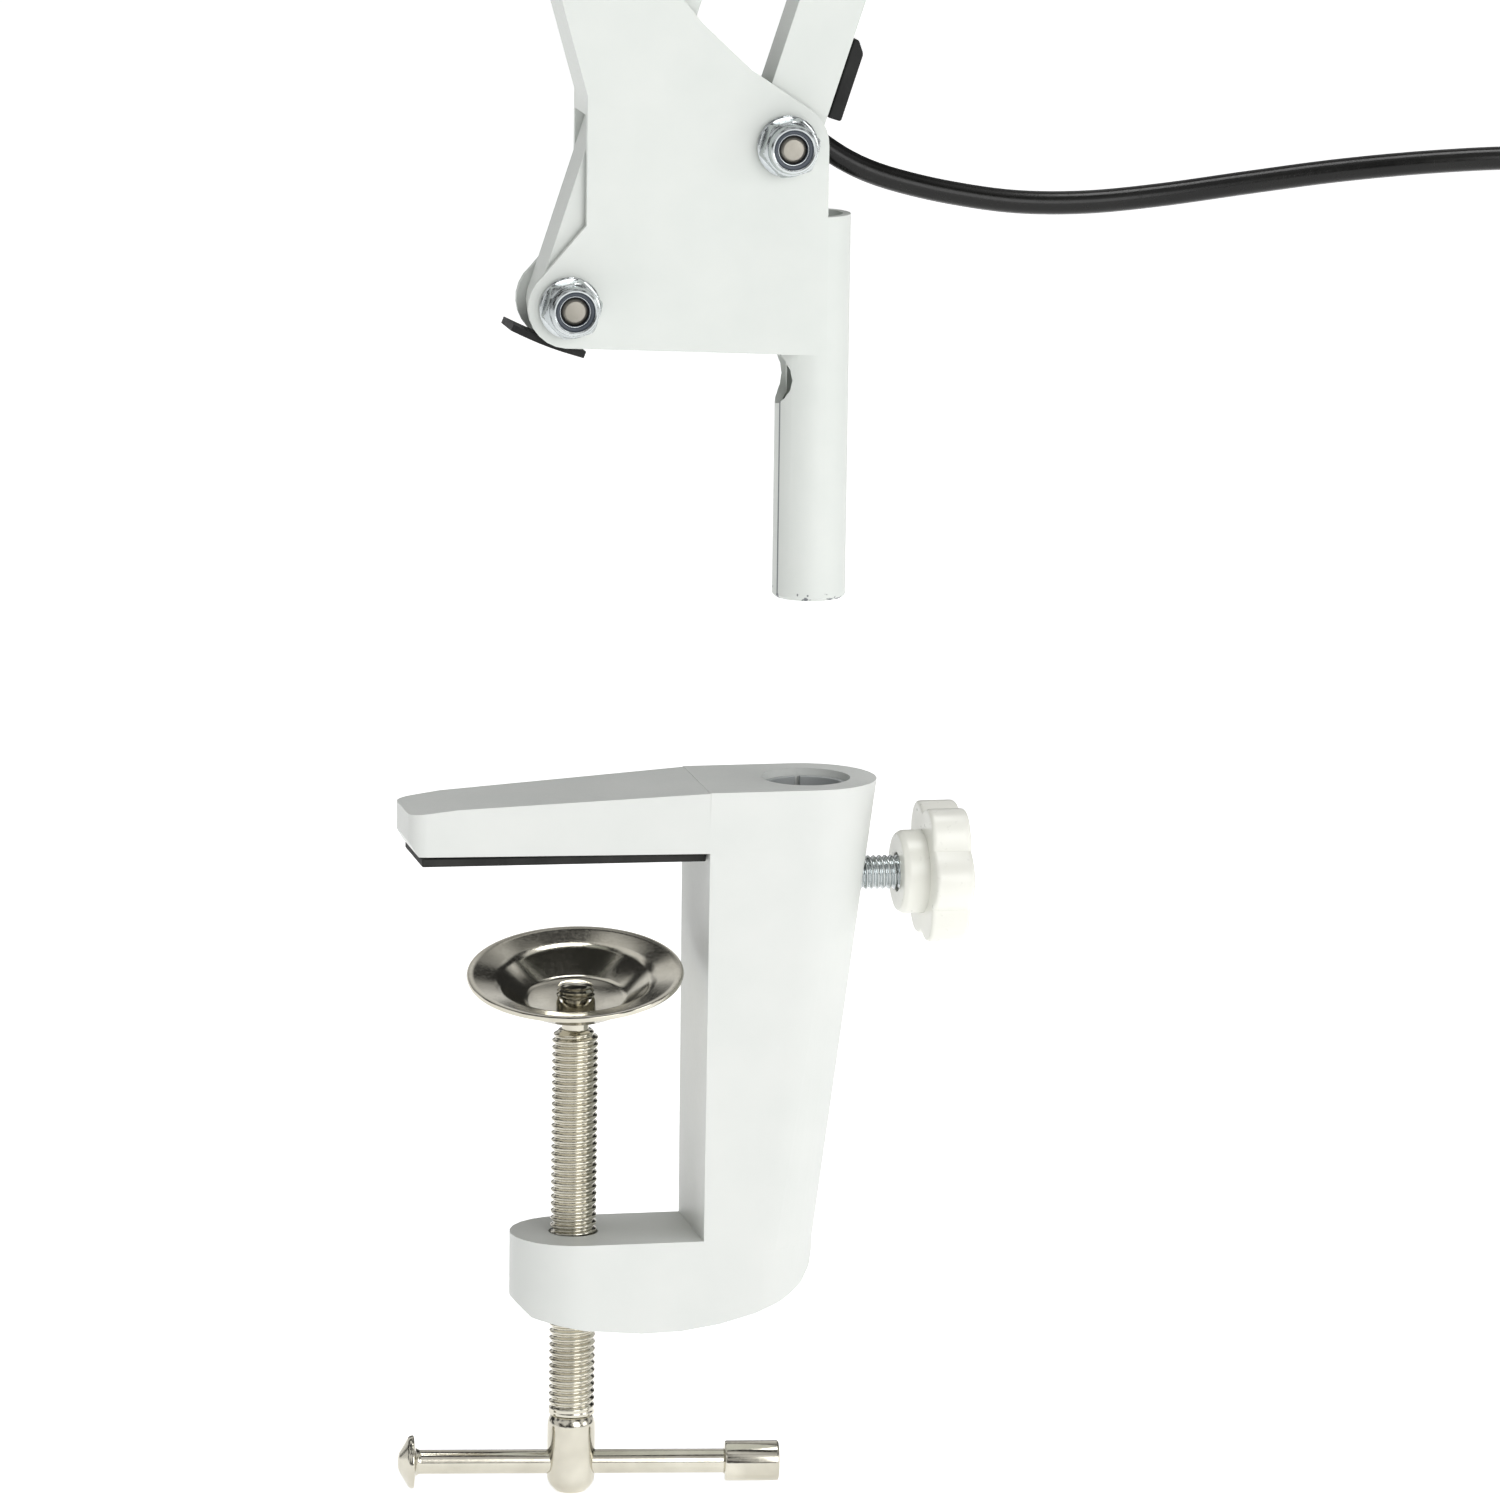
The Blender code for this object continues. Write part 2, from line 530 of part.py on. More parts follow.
def build_shade():
    """The shade's lug, cap, bell, lamp holder and bulb, all on one axis."""
    cap_r = SHADE_NECK_R - 2 * MM
    cap = add_mesh("shade_cap", along_shade(turned(
        [(0, 0), (8 * MM, 0), (cap_r - 4 * MM, 3 * MM), (cap_r, 9 * MM), (cap_r, CAP_LENGTH),
         (0, CAP_LENGTH)], 36)), SHEET_WHITE)
    axis = -tilted(LAMP_TILT)
    top = SHADE_PIVOT + axis * (LUG_LENGTH + 2 * MM)
    lug = hull_outline([(SHADE_PIVOT.x, SHADE_PIVOT.z, 5 * MM), (top.x, top.z, 6 * MM)])
    combine(cap, prism(lug, -ARM_D / 2, ARM_D / 2), "UNION")
    combine(cap, pin(SHADE_PIVOT, BOLT_R + RUN, 0.02))
    start = CAP_LENGTH + GAP
    end = start + SHADE_LENGTH
    hole = 9 * MM
    steps = 8
    outer = [(SHADE_NECK_R + (SHADE_R - SHADE_NECK_R) * math.sin(math.pi / 2 * k / steps) ** 0.9,
              start + (SHADE_LENGTH - 14 * MM) * (1 - math.cos(math.pi / 2 * k / steps)) + 0.5 * MM * k)
             for k in range(steps + 1)]
    outer = [(hole, start)] + outer + [(SHADE_R, end)]
    inner = [(r - SHADE_T if r > hole else r, z + (SHADE_T if k < steps else 0))
             for k, (r, z) in enumerate(outer)]
    inner[-1] = (SHADE_R - SHADE_T, end)
    add_mesh("lamp_shade", along_shade(turned(outer + inner[::-1], 48)), SHEET_WHITE)
    holder_start = start + SHADE_T + 2 * GAP
    holder_end = holder_start + 26 * MM
    add_mesh("lamp_holder", along_shade(turned(
        [(0, holder_start), (19 * MM, holder_start), (18 * MM, holder_end), (0, holder_end)], 32)), RUBBER)
    base = holder_end + GAP
    ball = base + 32 * MM
    profile = [(0, base), (12 * MM, base), (12.5 * MM, base + 7 * MM)]
    profile += [(BULB_R * math.cos(a), ball + BULB_R * math.sin(a))
                for a in (math.radians(x) for x in (-50, -35, -20, 0, 20, 40, 60, 75))]
    profile.append((0, ball + BULB_R))
    add_mesh("bulb", along_shade(turned(profile, 32)), (BULB_WHITE, 0.3, 0.0))


CORD_POINTS = [(0.8, 0, 119.6), (4.4, 0, 117.2), (9, 0, 114.9), (15, 0, 112.9), (24, 0, 110.8),
               (35, 0, 109.2), (47, 0, 109.0), (60, 0, 110.2), (75, 0, 112.4), (90, 0, 114.6),
               (106, 0, 116.4), (122, 0, 117.2), (138, 0, 116.6), (152, 0, 112.4), (160, 0, 104.0),
               (162, 0, 92.3)]


def smooth_route(points, step):
    """Evenly close points of a Catmull-Rom curve through hand-chosen points, in metres."""
    given = [Vector(p) * MM for p in points]
    padded = [given[0] * 2 - given[1]] + given + [given[-1] + Vector((0, 0, -step))]
    route = []
    for p0, p1, p2, p3 in zip(padded, padded[1:], padded[2:], padded[3:]):
        count = max(1, round((p2 - p1).length / step))
        for k in range(count):
            t = k / count
            route.append(0.5 * (2 * p1 + (p2 - p0) * t + (2 * p0 - 5 * p1 + 4 * p2 - p3) * t * t
                                + (3 * p1 - p0 - 3 * p2 + p3) * t ** 3))
    return route + [given[-1]]


def build_cord():
    """The free lead, the tied hank of its spare length, and the plug below it."""
    route = smooth_route(CORD_POINTS, CORD_R * 4)
    curve = bpy.data.curves.new("cord", "CURVE")
    curve.dimensions = "3D"
    curve.bevel_depth = CORD_R
    curve.bevel_resolution = 2
    curve.use_fill_caps = True
    spline = curve.splines.new("POLY")
    spline.points.add(len(route) - 1)
    for point, place in zip(spline.points, route):
        point.co = (*place, 1.0)
    cord = bpy.data.objects.new("cord", curve)
    bpy.context.collection.objects.link(cord)
    curve.materials.append(finish_of("cord_finish", BLACK, 0.4, 0.0))
    half = HANK_WIDTH / 2
    low = HANK_TOP - HANK_LENGTH
    outline = arc(HANK_X, HANK_TOP - half, half, 0, 180, 10) + arc(HANK_X, low + half, half, 180, 360, 10)
    add_mesh("cord_hank", prism(outline, -HANK_DEPTH / 2, HANK_DEPTH / 2), RUBBER)
    top = low - GAP
    body = turned([(0, top), (3.5 * MM, top), (5 * MM, top - 6 * MM), (9 * MM, top - 12 * MM),
                   (10 * MM, top - 30 * MM), (0, top - 30 * MM)], 24)
    place = Vector((HANK_X, 0, 0)) + PLUG_SHIFT
    bmesh.ops.translate(body, verts=body.verts, vec=place)
    plug = add_mesh("plug", body, RUBBER)
    foot = top - 30 * MM
    for side in (-5 * MM, 5 * MM):
        blade = place + Vector((side, 0, foot))
        combine(plug, rod(2 * MM, blade + Vector((0, 0, MM)), blade - Vector((0, 0, 17 * MM)), 16), "UNION")


def main():
    """Builds every piece in its place."""
    clear_scene()
    build_clamp_frame()
    build_jaw_pad()
    build_pressure_disc()
    build_clamp_screw()
    build_tommy_bar()
    build_thumb_screw()
    build_socket_liner()
    build_yoke()
    build_fasteners("yoke", (PIVOT_A, PIVOT_B), YOKE_HALF)
    build_arm("lower_main_arm", PIVOT_A, LOWER_DIR, LOWER_LENGTH)
    build_arm("lower_link_arm", PIVOT_B, LOWER_DIR, LOWER_LENGTH)
    strip_on_arm("cord_guard", PIVOT_A, LOWER_DIR, 6.5 * MM, 20.5 * MM, ARM_W / 2 + GAP, ARM_W / 2 + 2.8 * MM)
    joints = (ELBOW_A, ELBOW_B, UPPER_A, UPPER_B)
    centre = (ELBOW_A + ELBOW_B) / 2 + Vector((0, 0, 13 * MM))
    build_plates("elbow_plates", [(p.x, p.z, 8.5 * MM) for p in joints], centre, joints)
    build_fasteners("elbow", joints, YOKE_HALF)
    build_arm("upper_main_arm", UPPER_A, UPPER_DIR, UPPER_LENGTH)
    build_arm("upper_link_arm", UPPER_B, UPPER_DIR, UPPER_LENGTH)
    joints = (HEAD_A, HEAD_B, SHADE_PIVOT)
    centre = HEAD_A + Vector((-11 * MM, 0, 3.5 * MM))
    build_plates("head_plates", [(p.x, p.z, 8.5 * MM) for p in joints], centre, joints)
    build_fasteners("head", joints, YOKE_HALF)
    build_shade()
    build_cord()


main()
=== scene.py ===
"""Looks of the swing arm desk lamp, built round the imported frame.

Lengths are metres. Every finished piece sits at the origin with its place in its mesh.
"""

import logging
import math
from dataclasses import dataclass
from enum import Enum
from typing import Callable, Dict, List, Sequence, Tuple, Union

import bmesh
import bpy
import numpy as np
from mathutils import Matrix, Vector

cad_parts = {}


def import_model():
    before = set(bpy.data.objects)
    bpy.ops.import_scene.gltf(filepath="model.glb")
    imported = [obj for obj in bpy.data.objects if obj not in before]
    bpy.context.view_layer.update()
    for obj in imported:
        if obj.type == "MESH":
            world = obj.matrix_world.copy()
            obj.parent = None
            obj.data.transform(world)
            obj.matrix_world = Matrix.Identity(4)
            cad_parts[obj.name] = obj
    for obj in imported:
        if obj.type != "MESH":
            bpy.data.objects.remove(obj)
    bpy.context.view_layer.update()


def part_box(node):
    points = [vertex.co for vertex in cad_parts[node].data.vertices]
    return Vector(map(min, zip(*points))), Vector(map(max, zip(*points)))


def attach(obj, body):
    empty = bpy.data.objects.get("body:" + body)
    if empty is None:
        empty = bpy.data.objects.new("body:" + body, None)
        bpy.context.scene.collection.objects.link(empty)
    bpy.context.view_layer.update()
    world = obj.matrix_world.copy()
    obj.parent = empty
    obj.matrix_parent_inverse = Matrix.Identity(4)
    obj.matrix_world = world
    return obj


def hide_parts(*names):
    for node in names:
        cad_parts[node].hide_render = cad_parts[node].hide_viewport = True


LOG = logging.getLogger("lamp")
MM = 0.001
Point = Tuple[float, float, float]


# ---------------------------------------------------------------- finishes

class WearAndSeamShade(Enum):
    """How a painted surface is marked: clean, or chipped at the foot with painted shade along the open seam.
    """

    CLEAN = "clean"
    CHIPPED_FOOT_AND_SEAM_SHADE = "chipped_foot_and_seam_shade"


def new_material(name: str) -> Tuple[bpy.types.Material, bpy.types.Node, bpy.types.NodeTree]:
    """Starts a node material.

    Args:
        name: The material's name.

    Returns:
        The material, its Principled shader and its node tree.
    """
    material = bpy.data.materials.new(name)
    material.use_nodes = True
    tree = material.node_tree
    return material, tree.nodes["Principled BSDF"], tree


def object_noise(tree: bpy.types.NodeTree, scale: float, detail: float) -> bpy.types.NodeSocket:
    """Noise read from Object coordinates.

    Args:
        tree: The material's node tree.
        scale: Noise cells per metre.
        detail: Octaves of the noise.

    Returns:
        The noise's factor socket.
    """
    place = tree.nodes.new("ShaderNodeTexCoord")
    noise = tree.nodes.new("ShaderNodeTexNoise")
    noise.inputs["Scale"].default_value = scale
    noise.inputs["Detail"].default_value = detail
    tree.links.new(place.outputs["Object"], noise.inputs["Vector"])
    return noise.outputs["Fac"]


def ramp(tree: bpy.types.NodeTree, value: bpy.types.NodeSocket,
         stops: Sequence[Tuple[float, Tuple[float, float, float]]]) -> bpy.types.NodeSocket:
    """Turns a value into a colour.

    Args:
        tree: The material's node tree.
        value: The socket that drives the ramp.
        stops: Pairs of position and colour, two or more.

    Returns:
        The colour socket.
    """
    node = tree.nodes.new("ShaderNodeValToRGB")
    elements = node.color_ramp.elements
    while len(elements) < len(stops):
        elements.new(0.5)
    for element, (position, colour) in zip(elements, stops):
        element.position = position
        element.color = (*colour, 1.0)
    tree.links.new(value, node.inputs["Fac"])
    return node.outputs["Color"]


def bump(tree: bpy.types.NodeTree, shader: bpy.types.Node, height: bpy.types.NodeSocket,
         strength: float, distance: float) -> None:
    """Adds a fine bump to a shader.

    Args:
        tree: The material's node tree.
        shader: The Principled shader.
        height: The height socket.
        strength: Bump strength, 0 to 1.
        distance: Height of the bump in metres.
    """
    node = tree.nodes.new("ShaderNodeBump")
    node.inputs["Strength"].default_value = strength
    node.inputs["Distance"].default_value = distance
    tree.links.new(height, node.inputs["Height"])
    tree.links.new(node.outputs["Normal"], shader.inputs["Normal"])


def math_node(tree: bpy.types.NodeTree, operation: str, first: bpy.types.NodeSocket,
              second: Union[float, bpy.types.NodeSocket], third: float = 0.0) -> bpy.types.NodeSocket:
    """One Math node.

    Args:
        tree: The material's node tree.
        operation: The node's operation.
        first: The first value.
        second: The second value, a socket or a number.
        third: The third value.

    Returns:
        The result socket.
    """
    node = tree.nodes.new("ShaderNodeMath")
    node.operation = operation
    tree.links.new(first, node.inputs[0])
    if isinstance(second, float):
        node.inputs[1].default_value = second
    else:
        tree.links.new(second, node.inputs[1])
    node.inputs[2].default_value = third
    return node.outputs["Value"]


@dataclass(frozen=True)
class Finish:
    """A surface finish with mottled colour, mottled roughness and a fine bump."""

    name: str
    dark: Tuple[float, float, float]
    light: Tuple[float, float, float]
    rough: Tuple[float, float]
    metallic: float = 0.0
    cells: float = 900.0
    bump_m: float = 0.00001
    coat: float = 0.0
    specular: float = 0.5
    wear_and_seam_shade: WearAndSeamShade = WearAndSeamShade.CLEAN
    foot: Tuple[float, float] = (0.0, 0.0)
    # Where the open seam's painted shade runs on the post.
    seam_y: float = -0.0020
    seam_top: float = 0.0845
    seam_half: float = 0.00022
    seam_x: float = -0.0054
    chip_cells: float = 700.0
    # Colour of the chips' unpainted metal, also used for the seam's painted shade.
    bare_and_seam_shade: Tuple[float, float, float, float] = (0.16, 0.17, 0.18, 1.0)

    def build(self) -> bpy.types.Material:
        """Makes the node material.

        Returns:
            The finished material.
        """
        material, shader, tree = new_material(self.name)
        broad = object_noise(tree, self.cells * 0.06, 3.0)
        fine = object_noise(tree, self.cells, 4.0)
        colour = ramp(tree, broad, ((0.3, self.dark), (0.7, self.light)))
        # The post's paint gets worn chips at its foot and painted shade along its open seam.
        if self.wear_and_seam_shade is WearAndSeamShade.CHIPPED_FOOT_AND_SEAM_SHADE:
            colour = self.chipped_with_seam_shade(tree, colour)
        tree.links.new(colour, shader.inputs["Base Color"])
        low, high = self.rough
        rough = ramp(tree, fine, ((0.25, (low,) * 3), (0.75, (high,) * 3)))
        tree.links.new(rough, shader.inputs["Roughness"])
        shader.inputs["Metallic"].default_value = self.metallic
        shader.inputs["Specular IOR Level"].default_value = self.specular
        shader.inputs["Coat Weight"].default_value = self.coat
        shader.inputs["Coat Roughness"].default_value = 0.25
        bump(tree, shader, fine, 0.35, self.bump_m)
        return material

    def chipped_with_seam_shade(self, tree: bpy.types.NodeTree, colour: bpy.types.NodeSocket) -> bpy.types.NodeSocket:
        """Breaks the paint near the post's foot, and paints shade into the open seam of the rolled post.

        Unpainted metal shows where a sharp noise passes a level that falls towards the foot. The seam's
        painted shade is a dark band where Y is close to seam_y on the post's side towards the desk, up to
        seam_top, in the same dark colour as the chips.

        Args:
            tree: The material's node tree.
            colour: The paint's colour socket.

        Returns:
            The mixed colour socket.
        """
        low, high = self.foot
        place = tree.nodes.new("ShaderNodeTexCoord")
        split = tree.nodes.new("ShaderNodeSeparateXYZ")
        tree.links.new(place.outputs["Object"], split.inputs["Vector"])
        band = tree.nodes.new("ShaderNodeMapRange")
        band.inputs["From Min"].default_value = low
        band.inputs["From Max"].default_value = high
        band.inputs["To Min"].default_value = 0.24
        band.inputs["To Max"].default_value = -0.2
        tree.links.new(split.outputs["Z"], band.inputs["Value"])
        chips = object_noise(tree, self.chip_cells, 2.0)
        total = tree.nodes.new("ShaderNodeMath")
        total.operation = "ADD"
        tree.links.new(chips, total.inputs[0])
        tree.links.new(band.outputs["Result"], total.inputs[1])
        mask = ramp(tree, total.outputs["Value"], ((0.78, (0, 0, 0)), (0.8, (1, 1, 1))))
        # Painted shade: a thin dark band on the post stands in for the shade inside the open seam's gap.
        line = math_node(tree, "COMPARE", split.outputs["Y"], self.seam_y, self.seam_half)
        side = math_node(tree, "LESS_THAN", split.outputs["X"], self.seam_x)
        below = math_node(tree, "LESS_THAN", split.outputs["Z"], self.seam_top)
        seam_shade = math_node(tree, "MULTIPLY", math_node(tree, "MULTIPLY", line, side), below)
        # The worn chips and the seam's painted shade share one dark colour.
        bare_and_seam_shade = math_node(tree, "MAXIMUM", mask, seam_shade)
        mix = tree.nodes.new("ShaderNodeMix")
        mix.data_type = "RGBA"
        tree.links.new(bare_and_seam_shade, mix.inputs[0])
        tree.links.new(colour, mix.inputs[6])
        mix.inputs[7].default_value = self.bare_and_seam_shade
        return mix.outputs[2]


CAST_PAINT = Finish("cast_paint", (0.645, 0.665, 0.64), (0.675, 0.69, 0.665),
                    (0.38, 0.5), cells=1400, bump_m=0.00002)
SHEET_PAINT = Finish("sheet_paint", (0.62, 0.65, 0.62), (0.65, 0.675, 0.645),
                     (0.36, 0.46), cells=1600, bump_m=0.000015)
# Post paint: worn chips at the foot, and painted shade along the open seam.
POST_PAINT = Finish("post_paint", (0.62, 0.65, 0.62), (0.65, 0.675, 0.645), (0.36, 0.46), cells=1600,
                    bump_m=0.000015, wear_and_seam_shade=WearAndSeamShade.CHIPPED_FOOT_AND_SEAM_SHADE, foot=(0.0422, 0.0470))
NICKEL = Finish("nickel_plate", (0.50, 0.475, 0.40), (0.66, 0.635, 0.55),
                (0.09, 0.2), 1.0, cells=1800, bump_m=0.000012)
ZINC = Finish("zinc_plate", (0.42, 0.45, 0.46), (0.62, 0.65, 0.65),
              (0.12, 0.28), 1.0, cells=1500, bump_m=0.000015)
BARE_END = Finish("bolt_end", (0.24, 0.23, 0.20), (0.36, 0.34, 0.30),
                  (0.35, 0.5), 1.0, cells=2500, bump_m=0.00003)
NYLON = Finish("nylon_ring", (0.035, 0.045, 0.06), (0.07, 0.08, 0.10), (0.4, 0.55), cells=2000)
KNOB_WHITE = Finish("knob_plastic", (0.72, 0.72, 0.66), (0.77, 0.77, 0.71),
                    (0.26, 0.36), cells=700, coat=0.15)
LINER = Finish("liner_plastic", (0.30, 0.32, 0.32), (0.48, 0.50, 0.50), (0.45, 0.6), cells=1200)
RUBBER = Finish("pad_rubber", (0.012, 0.013, 0.012), (0.03, 0.03, 0.028),
                (0.6, 0.8), cells=2200, bump_m=0.00004, specular=0.25)
GUARD = Finish("guard_plastic", (0.006, 0.006, 0.006), (0.014, 0.015, 0.014),
               (0.4, 0.55), cells=2500, bump_m=0.00004, specular=0.2)
SHEATH = Finish("cord_sheath", (0.003, 0.003, 0.003), (0.006, 0.006, 0.005),
                (0.2, 0.3), cells=900, specular=0.28)
OPAL = Finish("bulb_opal", (0.88, 0.87, 0.83), (0.95, 0.94, 0.91), (0.25, 0.35), cells=500)


class Paints:
    """Builds each finish once and hands it out."""

    def __init__(self) -> None:
        """Starts with nothing built."""
        self.made: Dict[str, bpy.types.Material] = {}

    def get(self, finish: Finish) -> bpy.types.Material:
        """Returns the material of a finish, building it the first time."""
        if finish.name not in self.made:
            self.made[finish.name] = finish.build()
        return self.made[finish.name]


# ---------------------------------------------------------------- surfaces

def mesh_object(name: str, points: np.ndarray, faces: Sequence[Sequence[int]],
                angle: float = 40.0) -> bpy.types.Object:
    """Puts points and faces into a linked object, smooth except across sharp edges.

    Args:
        name: The object's name.
        points: An array of shape (n, 3).
        faces: Vertex indices of each face.
        angle: Edges sharper than this many degrees stay sharp.

    Returns:
        The object, at the origin.
    """
    mesh = bpy.data.meshes.new(name)
    mesh.from_pydata(points.tolist(), [], [list(map(int, f)) for f in faces])
    shape = bmesh.new()
    shape.from_mesh(mesh)
    bmesh.ops.remove_doubles(shape, verts=shape.verts, dist=1e-7)
    bmesh.ops.recalc_face_normals(shape, faces=shape.faces)
    shape.to_mesh(mesh)
    shape.free()
    mesh.shade_smooth()
    mesh.set_sharp_from_angle(angle=math.radians(angle))
    item = bpy.data.objects.new(name, mesh)
    bpy.context.scene.collection.objects.link(item)
    return item


def ring_faces(rows: int, columns: int) -> np.ndarray:
    """Quads of a grid whose columns close into a ring.

    Args:
        rows: Number of rings.
        columns: Points in each ring.

    Returns:
        An array of shape (faces, 4).
    """
    r, c = np.meshgrid(np.arange(rows - 1), np.arange(columns), indexing="ij")
    n = (c + 1) % columns
    quads = np.stack([r * columns + c, r * columns + n, (r + 1) * columns + n, (r + 1) * columns + c], -1)
    return quads.reshape(-1, 4)


def capped_faces(rows: int, columns: int) -> List[List[int]]:
    """Quads of a ring grid, with one flat face over each of its open ends.

    Args:
        rows: Number of rings.
        columns: Points in each ring.

    Returns:
        The vertex indices of each face.
    """
    last = (rows - 1) * columns
    return ring_faces(rows, columns).tolist() + [
        list(range(columns))[::-1], list(range(last, last + columns))]


def groove(along: np.ndarray, turn: np.ndarray, pitch: float) -> np.ndarray:
    """The depth of a thread's groove, as a share from 0 to 1.

    The phase is the fraction left of along / pitch - turn / full turn. The depth is a triangle wave
    of the phase, stretched and clipped so that crests and roots are flat.

    Args:
        along: Distances along the axis, in the pitch's unit.
        turn: Angles round the axis in radians.
        pitch: Distance between two crests.

    Returns:
        The depth for each pair of distance and angle.
    """
    phase = np.mod(along / pitch - turn / (2 * np.pi), 1.0)
    return np.clip(1.35 * (1.0 - np.abs(2.0 * phase - 1.0)) - 0.2, 0.0, 1.0)


def turned(name: str, profile: Sequence[Tuple[float, float]], frame: Matrix, columns: int = 64,
           wave: Callable[[np.ndarray], np.ndarray] = np.ones_like, ring: bool = False,
           angle: float = 40.0) -> bpy.types.Object:
    """A surface of revolution: each point is (radius times wave(angle), angle, height).

    Args:
        name: The object's name.
        profile: (radius, height) points; a radius of 0 closes the surface in a pole.
        frame: Places the axis, drawn along +Z from the origin.
        columns: Points round the axis.
        wave: Scales the radius by the angle, for lobes.
        ring: True where the profile closes on itself.
        angle: Edges sharper than this many degrees stay sharp.

    Returns:
        The placed object.
    """
    radius, height = np.array(profile, float).T
    turn = np.linspace(0.0, 2.0 * np.pi, columns, endpoint=False)
    swell = wave(turn)
    x = radius[:, None] * swell * np.cos(turn)
    y = radius[:, None] * swell * np.sin(turn)
    z = np.repeat(height[:, None], columns, 1)
    points = np.stack([x, y, z], -1).reshape(-1, 3)
    faces = ring_faces(len(profile), columns)
    if ring:
        last = (len(profile) - 1) * columns
        c = np.arange(columns)
        n = (c + 1) % columns
        faces = np.concatenate([faces, np.stack([last + c, last + n, n, c], -1)])
    return mesh_object(name, placed(points, frame), faces, angle)


def placed(points: np.ndarray, frame: Matrix) -> np.ndarray:
    """Applies a 4 by 4 matrix to an array of points."""
    matrix = np.array(frame)
    return points @ matrix[:3, :3].T + matrix[:3, 3]


def axis_frame(start: Vector, direction: Vector) -> Matrix:
    """The matrix that puts +Z along a direction, with its origin at a point."""
    return Matrix.Translation(start) @ direction.to_track_quat("Z", "Y").to_matrix().to_4x4()


def rounded(corners: Sequence[Tuple[float, float, float]], steps: int = 5) -> List[Tuple[float, float]]:
    """A profile whose corners are rounded by quadratic arcs.

    Each corner is cut back by its rounding along both of its edges, and a parabola from cut to cut,
    pulled towards the corner, takes its place.

    Args:
        corners: (radius, height, rounding) points in order.
        steps: Points in each rounded corner.

    Returns:
        The (radius, height) profile.
    """
    made: List[Tuple[float, float]] = []
    for k, (r, z, cut) in enumerate(corners):
        if cut <= 0.0 or k in (0, len(corners) - 1):
            made.append((r, z))
            continue
        here = np.array([r, z])
        before = np.array(corners[k - 1][:2]) - here
        after = np.array(corners[k + 1][:2]) - here
        first = here + before / np.linalg.norm(before) * min(cut, np.linalg.norm(before) * 0.49)
        last = here + after / np.linalg.norm(after) * min(cut, np.linalg.norm(after) * 0.49)
        t = np.linspace(0.0, 1.0, steps)[:, None]
        bend = (1 - t) ** 2 * first + 2 * t * (1 - t) * here + t * t * last
        made += [tuple(p) for p in bend.tolist()]
    return made


def refined(node: str, name: str, width: float, segments: int = 3, angle: float = 28.0) -> bpy.types.Object:
    """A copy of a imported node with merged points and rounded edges.

    Args:
        node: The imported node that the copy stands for.
        name: The new piece's name.
        width: Width of the rounding in metres.
        segments: Steps in the rounding.
        angle: Edges sharper than this many degrees are rounded.

    Returns:
        The new object.
    """
    source = bpy.data.objects[node]
    shape = bmesh.new()
    shape.from_mesh(source.data)
    bmesh.ops.remove_doubles(shape, verts=shape.verts, dist=2e-6)
    bmesh.ops.dissolve_limit(shape, angle_limit=math.radians(0.6), verts=shape.verts, edges=shape.edges)
    mesh = bpy.data.meshes.new(name)
    shape.to_mesh(mesh)
    shape.free()
    mesh.shade_smooth()
    item = bpy.data.objects.new(name, mesh)
    bpy.context.scene.collection.objects.link(item)
    edge = item.modifiers.new("rounding", "BEVEL")
    edge.width = width
    edge.segments = segments
    edge.limit_method = "ANGLE"
    edge.angle_limit = math.radians(angle)
    edge.harden_normals = True
    flow = item.modifiers.new("flow", "WEIGHTED_NORMAL")
    flow.keep_sharp = True
    return item


@dataclass
class SubAssembly:
    """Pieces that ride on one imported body."""

    paints: Paints
    body: str = "root"

    def dress(self, item: bpy.types.Object, finish: Finish, slot: str, *nodes: str) -> bpy.types.Object:
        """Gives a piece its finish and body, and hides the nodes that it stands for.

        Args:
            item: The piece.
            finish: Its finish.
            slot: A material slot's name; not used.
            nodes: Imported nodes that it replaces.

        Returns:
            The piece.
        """
        item.data.materials.clear()
        item.data.materials.append(self.paints.get(finish))
        if nodes:
            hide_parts(*nodes)
        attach(item, self.body)
        LOG.info("%s on %s", item.name, self.body)
        return item


# ------------------------------------------------------------------ studio

